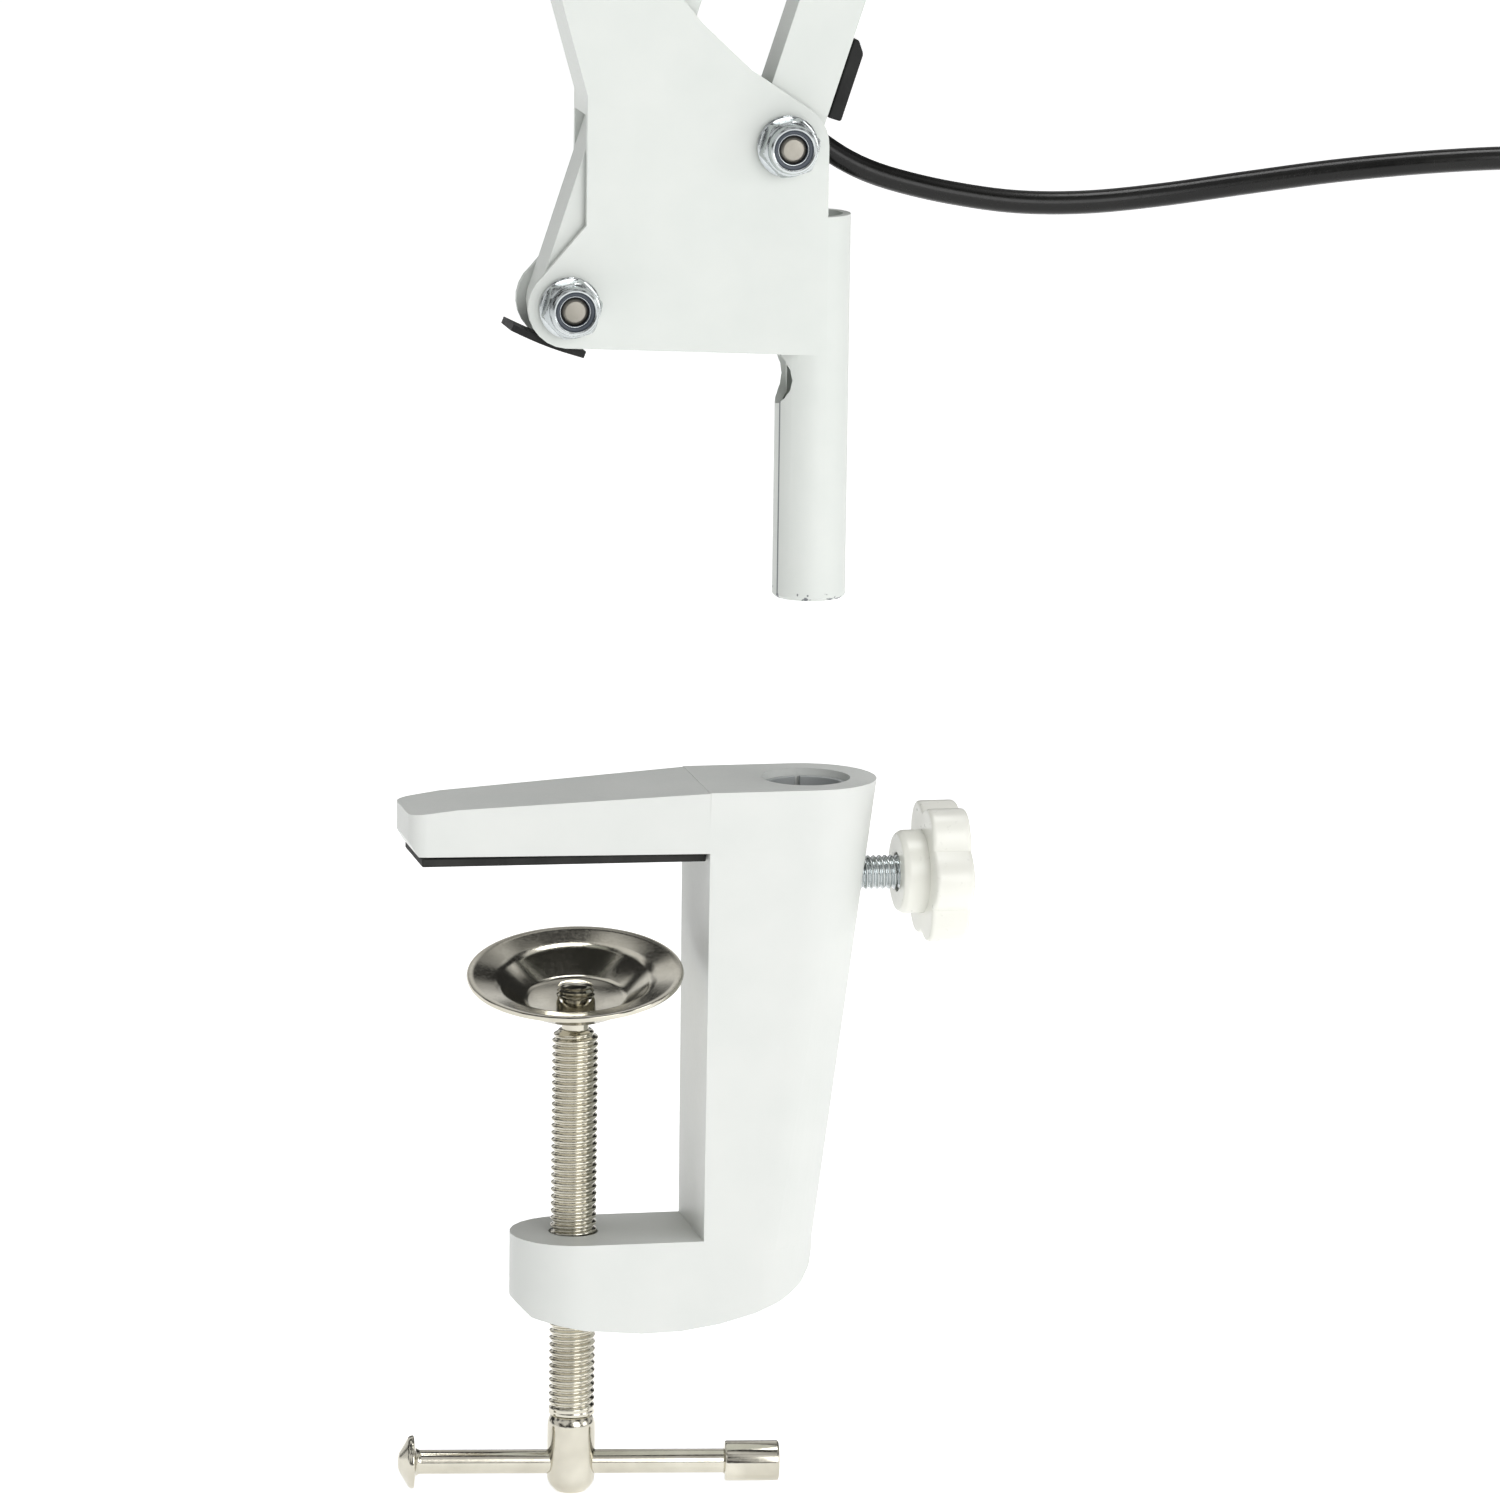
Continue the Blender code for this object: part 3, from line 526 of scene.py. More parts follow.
@dataclass
class Studio:
    """The camera, the pale backdrop and the soft lights."""

    azimuth: float = -12.0
    elevation: float = 11.0
    distance: float = 1.6
    lens: float = 224.7
    roll: float = 0.8
    target: Point = (-0.0098, 0.0, 0.0154)
    floor: float = -0.1148
    surround: Tuple[float, float] = (0.03, 0.85)

    def back(self) -> Vector:
        """The unit vector from the target to the camera."""
        a, e = math.radians(self.azimuth), math.radians(self.elevation)
        return Vector((math.sin(a) * math.cos(e), -math.cos(a) * math.cos(e), math.sin(e)))

    def aim(self) -> bpy.types.Object:
        """Makes the camera."""
        camera = bpy.data.objects.new("camera", bpy.data.cameras.new("camera"))
        camera.data.lens = self.lens
        camera.data.sensor_width = 36.0
        camera.location = Vector(self.target) + self.back() * self.distance
        level = (-self.back()).to_track_quat("-Z", "Y").to_matrix()
        camera.rotation_euler = (level @ Matrix.Rotation(math.radians(self.roll), 3, "Z")).to_euler()
        camera.data.clip_start, camera.data.clip_end = 0.01, 50.0
        bpy.context.scene.collection.objects.link(camera)
        bpy.context.scene.camera = camera
        return camera

    def backdrop(self) -> None:
        """A flat pale floor just below the lowest point, matt and glowing a little."""
        half = 6.0
        points = np.array([[-half, -half, 0], [half, -half, 0], [half, half, 0], [-half, half, 0]], float)
        points[:, 2] = self.floor
        floor = mesh_object("floor", points, [(0, 1, 2, 3)])
        material, shader, _ = new_material("floor_paint")
        shader.inputs["Base Color"].default_value = (0.9, 0.9, 0.9, 1.0)
        shader.inputs["Roughness"].default_value = 0.9
        shader.inputs["Emission Color"].default_value = (1.0, 1.0, 1.0, 1.0)
        shader.inputs["Emission Strength"].default_value = 0.66
        floor.data.materials.append(material)

    def lamp(self, name: str, place: Point, size: float, power: float) -> None:
        """One square soft light that faces the target.

        Args:
            name: The light's name.
            place: Its position in metres.
            size: Its side in metres.
            power: Its power in watts.
        """
        data = bpy.data.lights.new(name, "AREA")
        data.size = size
        data.energy = power
        item = bpy.data.objects.new(name, data)
        item.location = place
        toward = Vector(self.target) - Vector(place)
        item.rotation_euler = toward.to_track_quat("-Z", "Y").to_euler()
        bpy.context.scene.collection.objects.link(item)

    def build(self) -> None:
        """Makes the floor, the world and the lights."""
        self.backdrop()
        world = bpy.data.worlds.new("studio")
        world.use_nodes = True
        tree = world.node_tree
        sky = tree.nodes["Background"]
        sky.inputs["Strength"].default_value = 1.0
        way = tree.nodes.new("ShaderNodeTexCoord")
        bands = tree.nodes.new("ShaderNodeTexNoise")
        bands.inputs["Scale"].default_value = 2.6
        bands.inputs["Detail"].default_value = 1.0
        tree.links.new(way.outputs["Generated"], bands.inputs["Vector"])
        low, high = self.surround
        room = ramp(tree, bands.outputs["Fac"], ((0.44, (low,) * 3), (0.56, (high,) * 3)))
        seen = tree.nodes.new("ShaderNodeLightPath")
        tone = tree.nodes.new("ShaderNodeMix")
        tone.data_type = "RGBA"
        tree.links.new(seen.outputs["Is Camera Ray"], tone.inputs[0])
        tree.links.new(room, tone.inputs[6])
        tone.inputs[7].default_value = (1.0, 1.0, 1.0, 1.0)
        tree.links.new(tone.outputs[2], sky.inputs["Color"])
        bpy.context.scene.world = world
        bpy.context.scene.view_settings.view_transform = "Standard"
        self.lamp("key_light", (0.45, -1.55, 0.5), 0.9, 8.2)
        self.lamp("right_light", (1.2, -0.7, 0.3), 0.5, 2.2)
        self.lamp("top_light", (0.1, 0.0, 1.6), 0.6, 9.0)


# -------------------------------------------------------------------- cord

@dataclass
class Cord(SubAssembly):
    """The mains lead: a sagging run from the yoke, a folded hank in a tie, and the plug."""

    body: str = "yoke"
    radius: float = 0.002
    route: Tuple[Point, ...] = (
        (0.8, 0, 119.6), (4.4, 0, 117.2), (9.0, 0, 114.9), (15.0, 0, 112.9), (24.0, 0, 110.8),
        (35.0, -0.2, 109.2), (47.0, -0.6, 109.0), (60.0, -1.6, 110.2), (75.0, -3.6, 112.4),
        (90.0, -6.4, 114.6), (106.0, -10.2, 116.4), (122.0, -13.0, 117.2), (138.0, -14.4, 116.2),
        (153.0, -14.8, 110.4), (165.0, -14.8, 100.4), (172.4, -14.8, 89.0))
    middle: float = 162.0
    fold: float = 13.0
    low: float = 33.0
    high: float = 77.0
    turns: int = 7
    side: float = 14.8
    samples: int = 40

    def hank(self) -> np.ndarray:
        """The turns of the hank, as points in millimetres.

        A turn is a racetrack: down on the right at x = middle + fold, half a circle under the bottom,
        up on the left, half a circle over the top. Y moves by an equal step with the length travelled,
        and the last turn ends with one more way down on the right.
        """
        straight = self.high - self.low
        half = math.pi * self.fold
        lap = 2 * straight + 2 * half
        total = self.turns * lap + straight
        s = np.linspace(0.0, total, self.turns * self.samples)
        u = np.mod(s, lap)
        down = np.clip(u, 0, straight)
        under = np.clip(u - straight, 0, half) / self.fold
        up = np.clip(u - straight - half, 0, straight)
        over = np.clip(u - 2 * straight - half, 0, half) / self.fold
        x = self.middle + self.fold * (np.cos(under) - 1 + np.where(over > 0, 1 - np.cos(over), 0.0) + 1)
        z = self.high - down - self.fold * np.sin(under) + up + self.fold * np.sin(over)
        y = -self.side + 2 * self.side * s / total
        return np.stack([x, y, z], -1)

    def tube(self, route: np.ndarray, columns: int = 14) -> bpy.types.Object:
        """A round tube: each ring is the route's point plus radius times (cos a * side + sin a * up).

        The side vector is carried from ring to ring, so that the tube doesn't twist.

        Args:
            route: Points of the centreline in metres.
            columns: Points round the tube.

        Returns:
            The tube with closed ends.
        """
        along = np.gradient(route, axis=0)
        along /= np.linalg.norm(along, axis=1, keepdims=True)
        sides = np.zeros_like(route)
        side = np.array([0.0, 1.0, 0.0])
        for k, t in enumerate(along):
            side = side - t * np.dot(side, t)
            side /= np.linalg.norm(side)
            sides[k] = side
        ups = np.cross(along, sides)
        a = np.linspace(0.0, 2.0 * np.pi, columns, endpoint=False)
        ring = np.cos(a)[None, :, None] * sides[:, None] + np.sin(a)[None, :, None] * ups[:, None]
        points = (route[:, None] + self.radius * ring).reshape(-1, 3)
        return mesh_object("mains_lead", points, capped_faces(len(route), columns), 60.0)

    def smooth(self, given: np.ndarray, step: float) -> np.ndarray:
        """Evenly close points of a Catmull-Rom curve through the given ones.

        Args:
            given: Points in metres.
            step: Wanted spacing in metres.

        Returns:
            The closer points.
        """
        ends = np.concatenate([[2 * given[0] - given[1]], given, [2 * given[-1] - given[-2]]])
        parts = []
        for p0, p1, p2, p3 in zip(ends, ends[1:], ends[2:], ends[3:]):
            count = max(1, int(round(np.linalg.norm(p2 - p1) / step)))
            t = (np.arange(count) / count)[:, None]
            parts.append(0.5 * (2 * p1 + (p2 - p0) * t + (2 * p0 - 5 * p1 + 4 * p2 - p3) * t ** 2
                                + (3 * p1 - p0 - 3 * p2 + p3) * t ** 3))
        return np.concatenate(parts + [given[-1:]])

    def tie(self) -> bpy.types.Object:
        """A tie: a band round the hank's middle, a rectangle with rounded corners seen from above."""
        wide, deep, cut = self.fold + 3.1, self.side + 1.9, 2.2
        a = np.linspace(0.0, 2.0 * np.pi, 72, endpoint=False)
        c, s = np.cos(a), np.sin(a)
        x = self.middle + np.sign(c) * (wide - cut) * (np.abs(c) > 1e-6) + cut * c
        y = np.sign(s) * (deep - cut) * (np.abs(s) > 1e-6) + cut * s
        middle = (self.low + self.high) / 2
        rows = []
        for grow, height in ((0.0, -2.2), (0.8, -1.9), (0.8, 1.9), (0.0, 2.2)):
            rows.append(np.stack([x + grow * c, y + grow * s, np.full_like(x, middle + height)], -1))
        faces = ring_faces(4, 72).tolist()
        n = np.arange(72)
        faces += np.stack([3 * 72 + n, 3 * 72 + (n + 1) % 72, (n + 1) % 72, n], -1).tolist()
        return mesh_object("hank_tie", np.concatenate(rows) * MM, faces)

    def flattened(self, a: np.ndarray) -> np.ndarray:
        """The share of the plug's radius at an angle: 1 less 0.16 times the sixth power of its sine."""
        return 1.0 - 0.16 * np.abs(np.sin(a)) ** 6

    def plug(self, foot: Vector) -> List[bpy.types.Object]:
        """The plug: a ribbed grip that widens to a flat-faced body, and two round pins.

        Args:
            foot: Where the lead enters the plug, from above.

        Returns:
            The plug's pieces.
        """
        frame = axis_frame(foot, Vector((0, 0, -1)))
        ribs = [(r, z) for k in range(5) for r, z in (
            (2.9 + 0.32 * k, 0.4 + 2.2 * k), (3.3 + 0.32 * k, 0.9 + 2.2 * k),
            (3.3 + 0.32 * k, 1.7 + 2.2 * k), (2.9 + 0.32 * k, 2.2 + 2.2 * k))]
        profile = [(2.02, 0.1)] + ribs + [(5.2, 11.8), (7.6, 13.6), (8.8, 15.6), (9.4, 19.0), (9.8, 24.0),
                                          (9.9, 28.6), (9.5, 29.6), (8.6, 30.0), (0, 30.0)]
        body = turned("plug_body", [(r * MM, z * MM) for r, z in profile], frame, 56, self.flattened)
        made = [self.dress(body, RUBBER, "cord_black", "plug")]
        for k, side in enumerate((-5.0, 5.0)):
            pin_frame = axis_frame(foot + Vector((side * MM, 0, -29.8 * MM)), Vector((0, 0, -1)))
            sleeve = turned(f"plug_sleeve_{k + 1}", [(r * MM, z * MM) for r, z in rounded(
                [(0, 0, 0), (2.0, 0, 0), (2.0, 9.0, 0.2), (1.85, 9.2, 0), (0, 9.2, 0)])], pin_frame, 28)
            tip = turned(f"plug_pin_{k + 1}", [(r * MM, z * MM) for r, z in rounded(
                [(0, 9.0, 0), (1.85, 9.0, 0), (1.85, 17.0, 1.4), (0, 17.0, 0)])], pin_frame, 28)
            made += [self.dress(sleeve, GUARD, "cord_black"), self.dress(tip, ZINC, "zinc_steel")]
        return made

    def build(self) -> None:
        hank = self.hank() * MM
        tail = hank[-1] + np.array([[0, 0, -5.0], [0, -0.25, -10.0], [0, -0.6, -15.2]]) * MM
        run = np.array(self.route, float) * MM
        route = self.smooth(np.concatenate([run, hank, tail]), 2.0 * MM)
        lead = self.dress(self.tube(route), SHEATH, "cord_black", "cord", "cord_hank")
        tie = self.dress(self.tie(), GUARD, "guard_black")
        plug = self.plug(Vector(route[-1].tolist()))


# ------------------------------------------------------------------- clamp

@dataclass
class Clamp(SubAssembly):
    """The cast C frame with the rubber strip under its upper jaw."""

    body: str = "clamp"

    def build(self) -> None:
        """Rounds the casting's edges and dresses the frame and the strip."""
        frame = refined("clamp_frame", "clamp_casting", 0.0009, 4)
        self.dress(frame, CAST_PAINT, "cast_white", "clamp_frame")
        strip = refined("jaw_pad", "jaw_strip", 0.00025, 2)
        self.dress(strip, RUBBER, "pad_rubber", "jaw_pad")


@dataclass
class PressureDisc(SubAssembly):
    """The dished pressed-steel disc on the screw's tip."""

    body: str = "disc"
    radius: float = 18.6
    floor_radius: float = 8.6
    depth: float = 6.0
    rim: float = -22.0
    sheet: float = 0.9
    axis_x: float = -39.7
    hole: float = 2.75
    lean: float = 13.0
    lean_heading: float = -0.3

    def build(self) -> None:
        """Turns one closed profile and leans it on the screw's tip.

        The profile is a floor, a conical wall and a flared rim with a rolled lip. The lean turns it by
        lean degrees about a level line through the floor, lean_heading radians from the X axis.
        """
        low = self.rim - self.depth
        top = [(self.hole, low + self.sheet), (self.floor_radius - 0.6, low + self.sheet),
               (self.floor_radius + 0.5, low + self.sheet + 0.35), (12.6, self.rim - 1.75),
               (13.4, self.rim - 1.25), (14.3, self.rim - 0.95), (17.2, self.rim - 0.22), (18.0, self.rim)]
        lip = [(18.45, self.rim - 0.05), (self.radius, self.rim - 0.4), (18.45, self.rim - 0.85)]
        under = [(17.4, self.rim - 1.2), (14.4, self.rim - 1.95), (13.4, self.rim - 2.3),
                 (12.5, self.rim - 2.9), (self.floor_radius + 0.6, low - 0.35 + 0.5),
                 (self.floor_radius - 0.6, low), (self.hole, low)]
        profile = [(r * MM, z * MM) for r, z in top + lip + under]
        pivot = Matrix.Translation((self.axis_x * MM, 0, (low + 0.5) * MM))
        heading = Vector((math.cos(self.lean_heading), math.sin(self.lean_heading), 0.0))
        lean = Matrix.Rotation(math.radians(self.lean), 4, heading)
        frame = pivot @ lean @ Matrix.Translation((0, 0, -(low + 0.5) * MM))
        disc = turned("dished_disc", profile, frame, 128, ring=True, angle=50.0)
        self.dress(disc, NICKEL, "nickel_steel", "pressure_disc")


@dataclass
class ClampScrew(SubAssembly):
    """The M8 screw: plain rounded hub, rolled thread, and a riveted tip.

    The hub has no cross hole: the tommy bar's mesh runs through it.
    """

    body: str = "screw"
    axis_x: float = -39.7
    radius: float = 4.0
    depth: float = 0.55
    pitch: float = 1.25
    foot: float = -114.0
    hub_top: float = -100.2
    top: float = -32.4
    columns: int = 48
    rows_per_turn: int = 10

    def thread(self) -> bpy.types.Object:
        """The threaded length as one grid.

        Radius at (angle, height) is the outer radius less depth times a rounded saw wave of
        height / pitch - angle / full turn, and the wave fades out at both ends.
        """
        turns = (self.top - self.hub_top) / self.pitch
        rows = int(turns * self.rows_per_turn)
        z = np.linspace(self.hub_top, self.top, rows)[:, None]
        a = np.linspace(0, 2 * np.pi, self.columns, endpoint=False)[None, :]
        cut = groove(z, a, self.pitch)
        cut = cut * cut * (3 - 2 * cut)
        fade = np.clip((z - self.hub_top - 0.4) / 1.6, 0, 1) * np.clip((self.top - z) / 0.8, 0, 1)
        r = self.radius - 0.02 - self.depth * cut * fade
        r = r - 1.2 * np.clip(1.0 - (self.top - z) / 1.5, 0, 1) ** 2
        points = np.stack([r * np.cos(a), r * np.sin(a), z + 0 * a], -1).reshape(-1, 3)
        points[:, 0] += self.axis_x
        return mesh_object("screw_thread", points * MM, capped_faces(rows, self.columns), 55.0)

    def hub(self) -> bpy.types.Object:
        """The plain hub below the thread, with a domed foot and rounded shoulders."""
        r = self.radius
        profile = rounded([(0, self.foot, 0), (r - 1.3, self.foot, 0.1), (r + 0.15, self.foot + 1.6, 1.0),
                           (r + 0.15, self.hub_top - 1.4, 0.9), (r - 0.5, self.hub_top - 0.2, 0.3),
                           (0, self.hub_top - 0.1, 0)])
        frame = Matrix.Translation((self.axis_x * MM, 0, 0))
        return turned("screw_hub", [(a * MM, z * MM) for a, z in profile], frame, 56)

    def tip(self) -> bpy.types.Object:
        """The necked tip, riveted over inside the disc, with coarse turned grooves on its head."""
        low = -28.0
        profile = [(0, self.top - 0.2), (2.35, self.top - 0.2), (2.3, low + 0.95), (3.1, low + 1.15),
                   (3.3, low + 1.7), (2.85, low + 2.0), (3.2, low + 2.35), (2.8, low + 2.75),
                   (3.0, low + 3.15), (2.6, low + 3.6), (1.5, low + 3.85), (0, low + 3.75)]
        frame = Matrix.Translation((self.axis_x * MM, 0, 0))
        return turned("screw_tip", [(a * MM, z * MM) for a, z in profile], frame, 40, angle=60.0)

    def build(self) -> None:
        """Makes the three lengths of the screw."""
        self.dress(self.thread(), NICKEL, "nickel_steel", "clamp_screw")
        self.dress(self.hub(), NICKEL, "nickel_steel", "clamp_screw")
        self.dress(self.tip(), NICKEL, "nickel_steel", "clamp_screw")


@dataclass
class TommyBar(SubAssembly):
    """The sliding bar: domed mushroom head, plain rod and a pressed-on cap."""

    body: str = "bar"
    length: float = 66.0
    shift: float = 3.0
    turn: float = -8.0
    height: float = -109.0
    axis_x: float = -39.7
    radius: float = 2.1

    def build(self) -> None:
        """Turns the bar with its head, and the cap as a second piece."""
        half = self.length / 2
        a = math.radians(self.turn)
        along = Vector((math.cos(a), math.sin(a), 0))
        centre = Vector((self.axis_x, 0, self.height)) * MM + along * self.shift * MM
        frame = axis_frame(centre, along)
        rod = rounded([(0, -half, 0), (1.4, -half + 0.15, 0.5), (4.55, -half + 2.0, 0.5),
                       (4.65, -half + 2.9, 0.3), (2.7, -half + 3.1, 0.3), (self.radius, -half + 3.7, 0.4),
                       (self.radius, half - 1.0, 0.2), (0, half - 1.0, 0)])
        bar = turned("tommy_rod", [(r * MM, z * MM) for r, z in rod], frame, 48)
        self.dress(bar, NICKEL, "nickel_steel", "tommy_bar")
        start = half - 9.5
        cap = rounded([(self.radius + 0.02, start + 0.3, 0), (2.5, start, 0.2), (3.5, start + 0.1, 0.35),
                       (3.5, half - 0.1, 0.35), (2.9, half, 0.2), (2.2, half - 0.5, 0.2), (0, half - 0.5, 0)])
        sleeve = turned("tommy_cap", [(r * MM, z * MM) for r, z in cap], frame, 48)
        self.dress(sleeve, NICKEL, "nickel_steel", "tommy_bar")


@dataclass
class ThumbKnob(SubAssembly):
    """The star knob with its recessed face, its hub, and the zinc stud that it turns."""

    body: str = "knob"
    height: float = -6.6
    start: float = 16.2
    hub_radius: float = 7.2
    hub_depth: float = 4.4
    radius: float = 12.6
    lobe: float = 1.1
    depth: float = 6.8
    lobes: int = 6
    stud_radius: float = 3.0
    pitch: float = 1.0

    def star(self, a: np.ndarray) -> np.ndarray:
        """The radius round the knob, as a share: full on wide lobes, with narrow scoops between."""
        wave = 0.5 + 0.5 * np.cos(self.lobes * a)
        return 1.0 - 2 * self.lobe / self.radius * (1.0 - wave ** 0.55)

    def build(self) -> None:
        """Makes the knob's star, its hub and the threaded stud."""
        frame = axis_frame(Vector((0, 0, self.height)) * MM, Vector((1, 0, 0)))
        low, high = self.start + self.hub_depth, self.start + self.hub_depth + self.depth
        r = self.radius
        star = rounded([(0, low, 0), (r - 1.5, low, 0), (r, low, 0.8), (r, high, 1.0), (r - 3.2, high, 0.5),
                        (r - 4.0, high - 1.4, 0.7), (0, high - 1.4, 0)], 6)
        piece = turned("knob_star", [(a * MM, z * MM) for a, z in star], frame, 144, self.star)
        self.dress(piece, KNOB_WHITE, "knob_plastic", "thumb_knob")
        hub = rounded([(self.stud_radius + 0.3, self.start + 0.5, 0),
                       (self.stud_radius + 0.4, self.start, 0.1), (self.hub_radius - 0.6, self.start, 0.3),
                       (self.hub_radius, self.start + 0.9, 0.3),
                       (self.hub_radius, low + 0.3, 0), (self.stud_radius + 0.3, low + 0.3, 0)])
        piece = turned("knob_hub", [(a * MM, z * MM) for a, z in hub], frame, 64, ring=True)
        self.dress(piece, KNOB_WHITE, "knob_plastic", "thumb_knob")
        box_low, box_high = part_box("thumb_screw")
        first, last = box_low[0] / MM, box_high[0] / MM
        rows, columns = int((last - first) / self.pitch * 10), 40
        x = np.linspace(first, last, rows)[:, None]
        a = np.linspace(0, 2 * np.pi, columns, endpoint=False)[None, :]
        point = 0.5 * np.clip(1.0 - (x - first) / 0.8, 0, 1)
        q = self.stud_radius - 0.02 - 0.45 * groove(x, a, self.pitch) - point
        points = np.stack([x + 0 * a, q * np.cos(a), self.height + q * np.sin(a)], -1).reshape(-1, 3)
        stud = mesh_object("knob_stud", points * MM, capped_faces(rows, columns), 55.0)
        self.dress(stud, ZINC, "zinc_steel", "thumb_screw")


@dataclass
class Liner(SubAssembly):
    """The split sleeve in the clamp's socket."""

    body: str = "liner"

    def build(self) -> None:
        """Rounds and dresses the sleeve."""
        sleeve = refined("socket_liner", "socket_sleeve", 0.00015, 2)
        self.dress(sleeve, LINER, "liner_grey", "socket_liner")


# --------------------------------------------------------------- fasteners

@dataclass
class Fasteners(SubAssembly):
    """The pivot bolts of one body, with their flanged lock nuts.

    prefix starts the names of the body's bolt and nut nodes, and turn is the hexagons' angle.
    """

    prefix: str = "yoke"
    count: int = 2
    flats: float = 9.1
    turn: float = 0.3

    def hexagon(self, a: np.ndarray) -> np.ndarray:
        """Distance to the flats at an angle, for a hexagon of unit inner radius."""
        return 1.0 / np.cos(np.mod(a + np.pi / 6, np.pi / 3) - np.pi / 6)

    def nut(self, name: str, frame: Matrix, bore: float, height: float) -> bpy.types.Object:
        """A nut as one grid: flange, hexagon clipped by a cone, round collar with a rolled top.

        The radius is the lesser of the hexagon's and the cone's at each height.

        Args:
            name: The piece's name.
            frame: Its axis, from the plate outwards.
            bore: Radius of its hole.
            height: Its whole height in millimetres.

        Returns:
            The nut.
        """
        inner = self.flats / 2
        hexagonal = [(inner, 0.75, 4.9), (inner, 1.0, 5.25), (inner, 3.0, 5.25), (inner, 3.35, 5.05),
                     (inner, 3.7, 4.75), (inner, 3.95, 4.5)]
        plain = [(bore, 0.0), (4.9, 0.0), (5.25, 0.2), (5.25, 0.5), (5.0, 0.72)]
        collar = [(4.25, 4.05), (4.2, 4.3), (4.15, height - 0.7), (3.95, height - 0.25),
                  (3.65, height - 0.05), (3.4, height - 0.15), (3.3, height - 0.5), (bore, height - 0.55)]
        a = np.linspace(0, 2 * np.pi, 96, endpoint=False)
        six = self.hexagon(a + self.turn)
        rows = [(np.full_like(a, r), z) for r, z in plain]
        rows += [(np.minimum(r * six, cone), z) for r, z, cone in hexagonal]
        rows += [(np.full_like(a, r), z) for r, z in collar]
        points = np.concatenate([np.stack([r * np.cos(a), r * np.sin(a), np.full_like(a, z)], -1)
                                 for r, z in rows])
        faces = ring_faces(len(rows), 96).tolist()
        n, last = np.arange(96), (len(rows) - 1) * 96
        faces += np.stack([last + n, last + (n + 1) % 96, (n + 1) % 96, n], -1).tolist()
        return mesh_object(name, placed(points * MM, frame), faces, 28.0)

    def build(self) -> None:
        """Makes a nut, its nylon ring and the bolt for each pivot."""
        for k in range(1, self.count + 1):
            nut_node, bolt_node = f"{self.prefix}_nut_{k}", f"{self.prefix}_bolt_{k}"
            low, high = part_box(nut_node)
            x, z = (low[0] + high[0]) / 2, (low[2] + high[2]) / 2
            height = (high[1] - low[1]) / MM
            frame = axis_frame(Vector((x, high[1], z)), Vector((0, -1, 0)))
            nut = self.nut(f"{self.prefix}_lock_nut_{k}", frame, 2.55, height)
            self.dress(nut, ZINC, "zinc_steel", nut_node)
            ring = rounded([(2.45, height - 1.6, 0), (3.45, height - 1.6, 0), (3.35, height - 0.45, 0.1),
                            (2.95, height - 0.25, 0.2), (2.45, height - 0.7, 0.1)])
            piece = turned(f"{self.prefix}_nylon_{k}", [(r * MM, h * MM) for r, h in ring],
                           frame, 48, ring=True)
            self.dress(piece, NYLON, "guard_black")
            back = (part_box(bolt_node)[1][1] - high[1]) / MM
            end = height - 0.55
            shank = rounded([(0, end, 0), (1.7, end - 0.02, 0.1), (2.1, end - 0.35, 0.2),
                             (2.42, end - 0.7, 0.1), (2.42, 3.2 - back, 0), (4.8, 3.2 - back, 0.2),
                             (4.7, 1.6 - back, 0.9),
                             (3.0, 0.12 - back, 0.8), (0, -back, 0)])
            bolt = turned(f"{self.prefix}_pivot_bolt_{k}", [(r * MM, h * MM) for r, h in shank], frame, 48)
            self.dress(bolt, BARE_END, "nickel_steel", bolt_node)


# ------------------------------------------------------------ yoke and arms

@dataclass
class Yoke(SubAssembly):
    """The folded yoke with its rolled post."""

    body: str = "yoke"

    def build(self) -> None:
        """Rounds the sheet's edges and paints it, with the post's foot chipped and painted shade along the
        post's open seam.
        """
        yoke = refined("yoke", "folded_yoke", 0.00035, 3)
        self.dress(yoke, POST_PAINT, "sheet_white", "yoke")


@dataclass
class LinkEnd(SubAssembly):
    """The black plastic strip that closes the link arm's lower end."""

    body: str = "lower_link"
    first: Tuple[float, float] = (-52.4, 90.3)
    last: Tuple[float, float] = (-39.9, 85.4)
    wall: float = 1.2
    half: float = 4.6
    crown: float = 0.35

    def build(self) -> None:
        """Makes a flat bar, slightly crowned along its length.

        The centreline is a straight line plus crown times sin(pi t) away from the arm. The section is a
        rectangle, wall deep and twice half wide.
        """
        t = np.linspace(0.0, 1.0, 24)[:, None]
        first, last = np.array(self.first), np.array(self.last)
        along = (last - first) / np.linalg.norm(last - first)
        out = np.array([along[1], -along[0]])
        line = first + (last - first) * t + out * self.crown * np.sin(np.pi * t)
        rows = []
        for grow, y in ((0.0, -self.half), (self.wall, -self.half), (self.wall, self.half), (0.0, self.half)):
            place = line + out * grow
            rows.append(np.stack([place[:, 0], np.full(len(t), y), place[:, 1]], -1))
        grid = np.stack(rows, 1).reshape(-1, 3)
        strip = mesh_object("link_end_strip", grid * MM, capped_faces(len(t), 4))
        self.dress(strip, GUARD, "guard_black")


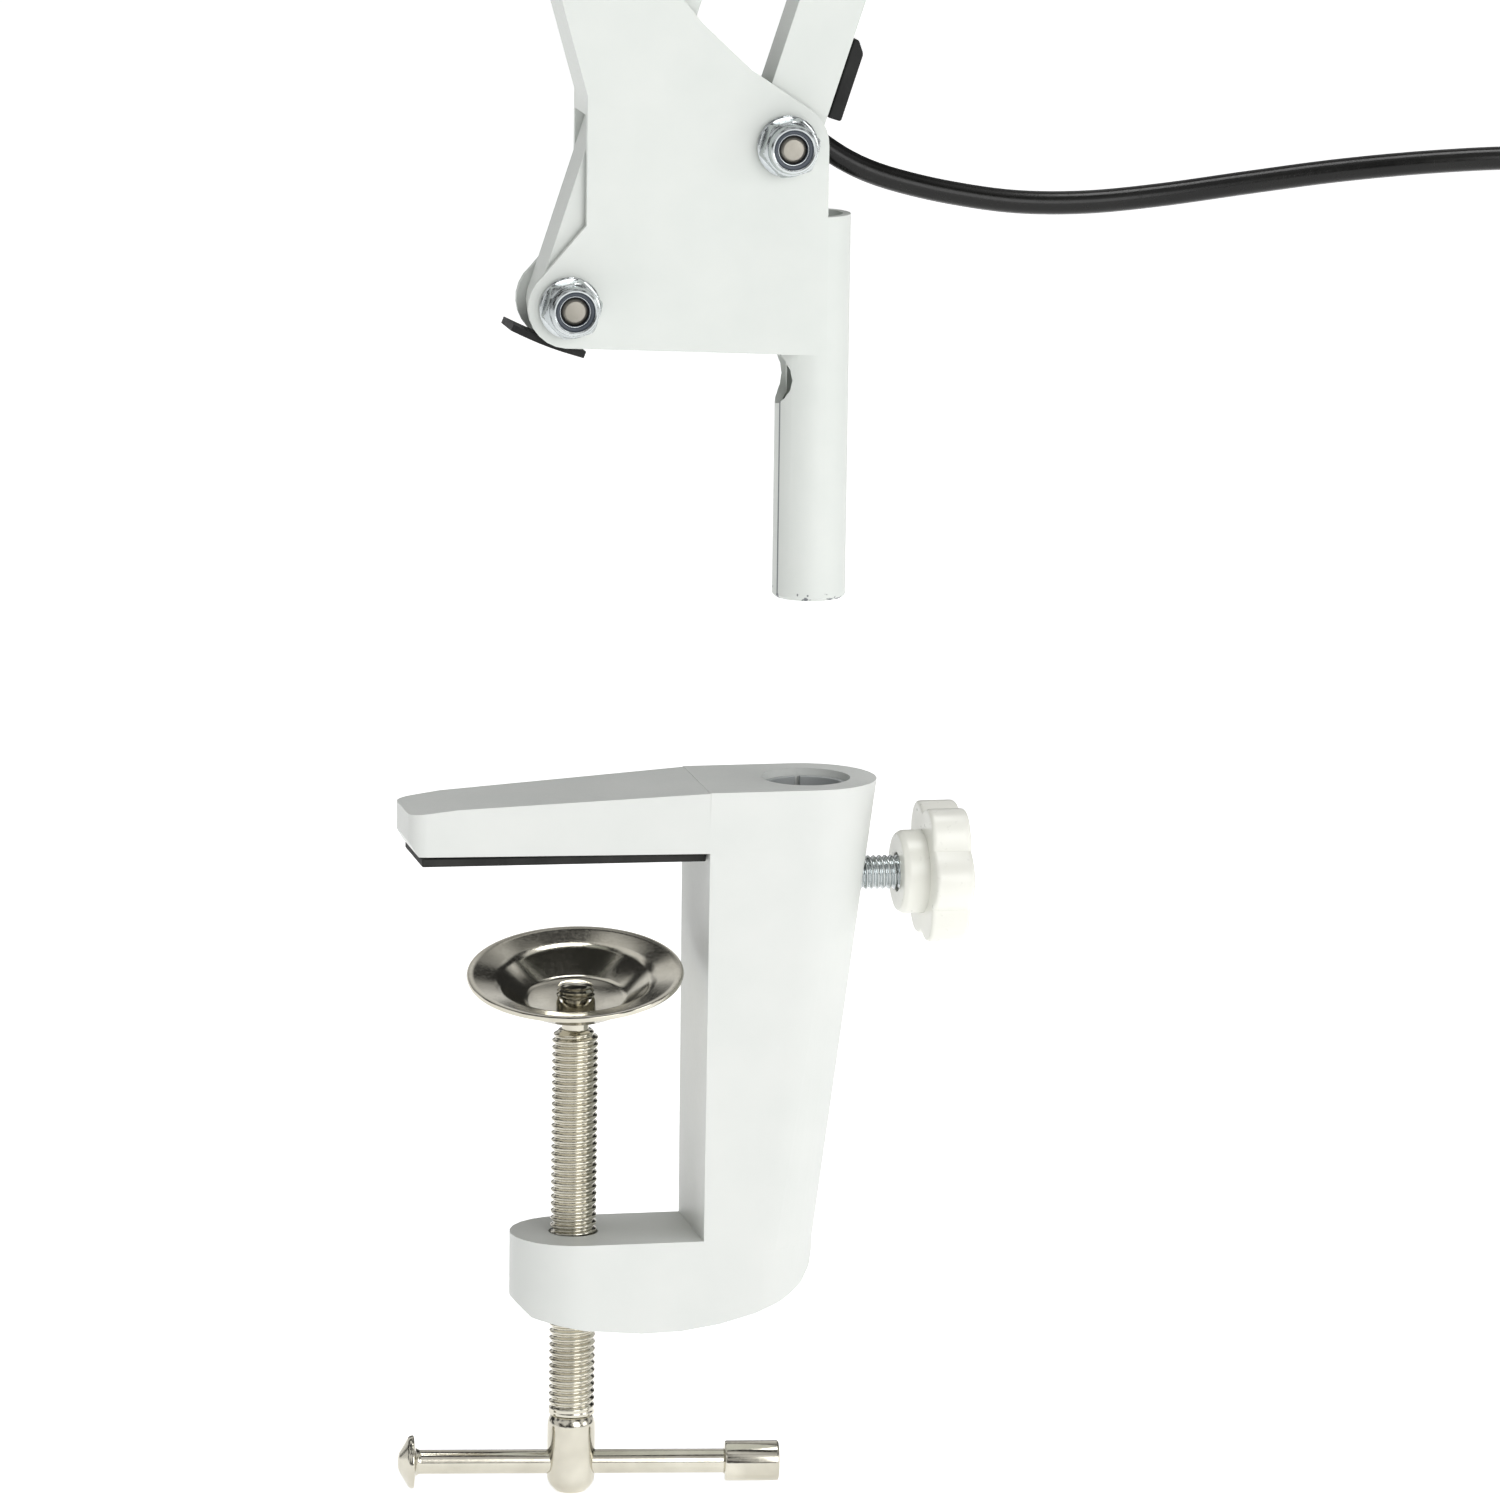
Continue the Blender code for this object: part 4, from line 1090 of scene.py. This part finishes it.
@dataclass
class Linkage(SubAssembly):
    """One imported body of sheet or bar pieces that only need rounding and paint."""

    parts: Tuple[Tuple[str, str, Finish, str, float], ...] = ()

    def build(self) -> None:
        """Rounds and dresses each part: node, new name, finish, slot and rounding in metres."""
        for node, name, finish, slot, width in self.parts:
            self.dress(refined(node, name, width), finish, slot, node)


LINKAGES: Tuple[Tuple[str, Tuple[Tuple[str, str, Finish, str, float], ...]], ...] = (
    ("lower_main", (("lower_main_arm", "lower_main_bar", SHEET_PAINT, "sheet_white", 0.0012),
                    ("cord_guard", "cord_channel", GUARD, "guard_black", 0.0004))),
    ("lower_link", (("lower_link_arm", "lower_link_bar", SHEET_PAINT, "sheet_white", 0.0012),)),
    ("elbow", (("elbow_plates", "elbow_bracket", SHEET_PAINT, "sheet_white", 0.00035),)),
    ("upper_main", (("upper_main_arm", "upper_main_bar", SHEET_PAINT, "sheet_white", 0.0012),)),
    ("upper_link", (("upper_link_arm", "upper_link_bar", SHEET_PAINT, "sheet_white", 0.0012),)),
    ("head", (("head_plates", "head_bracket", SHEET_PAINT, "sheet_white", 0.00035),)),
    ("shade", (("shade_cap", "shade_cap_shell", SHEET_PAINT, "sheet_white", 0.0006),
               ("lamp_shade", "bell_shade", SHEET_PAINT, "sheet_white", 0.0003),
               ("lamp_holder", "bulb_holder", GUARD, "guard_black", 0.0006),
               ("bulb", "opal_bulb", OPAL, "bulb_opal", 0.0003))),
)


def main() -> None:
    """Builds the studio and the lamp's sub-assemblies in order."""
    logging.basicConfig(level=logging.INFO, format="%(name)s: %(message)s")
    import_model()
    studio = Studio()
    studio.aim()
    paints = Paints()
    Cord(paints).build()
    studio.build()
    for part in (Clamp(paints), PressureDisc(paints), ClampScrew(paints), TommyBar(paints), ThumbKnob(paints),
                 Liner(paints), Yoke(paints), LinkEnd(paints)):
        part.build()
    for body, parts in LINKAGES:
        Linkage(paints, body, parts).build()
    for body, count in (("yoke", 2), ("elbow", 4), ("head", 3)):
        Fasteners(paints, body, body, count).build()


if __name__ == "__main__":
    main()
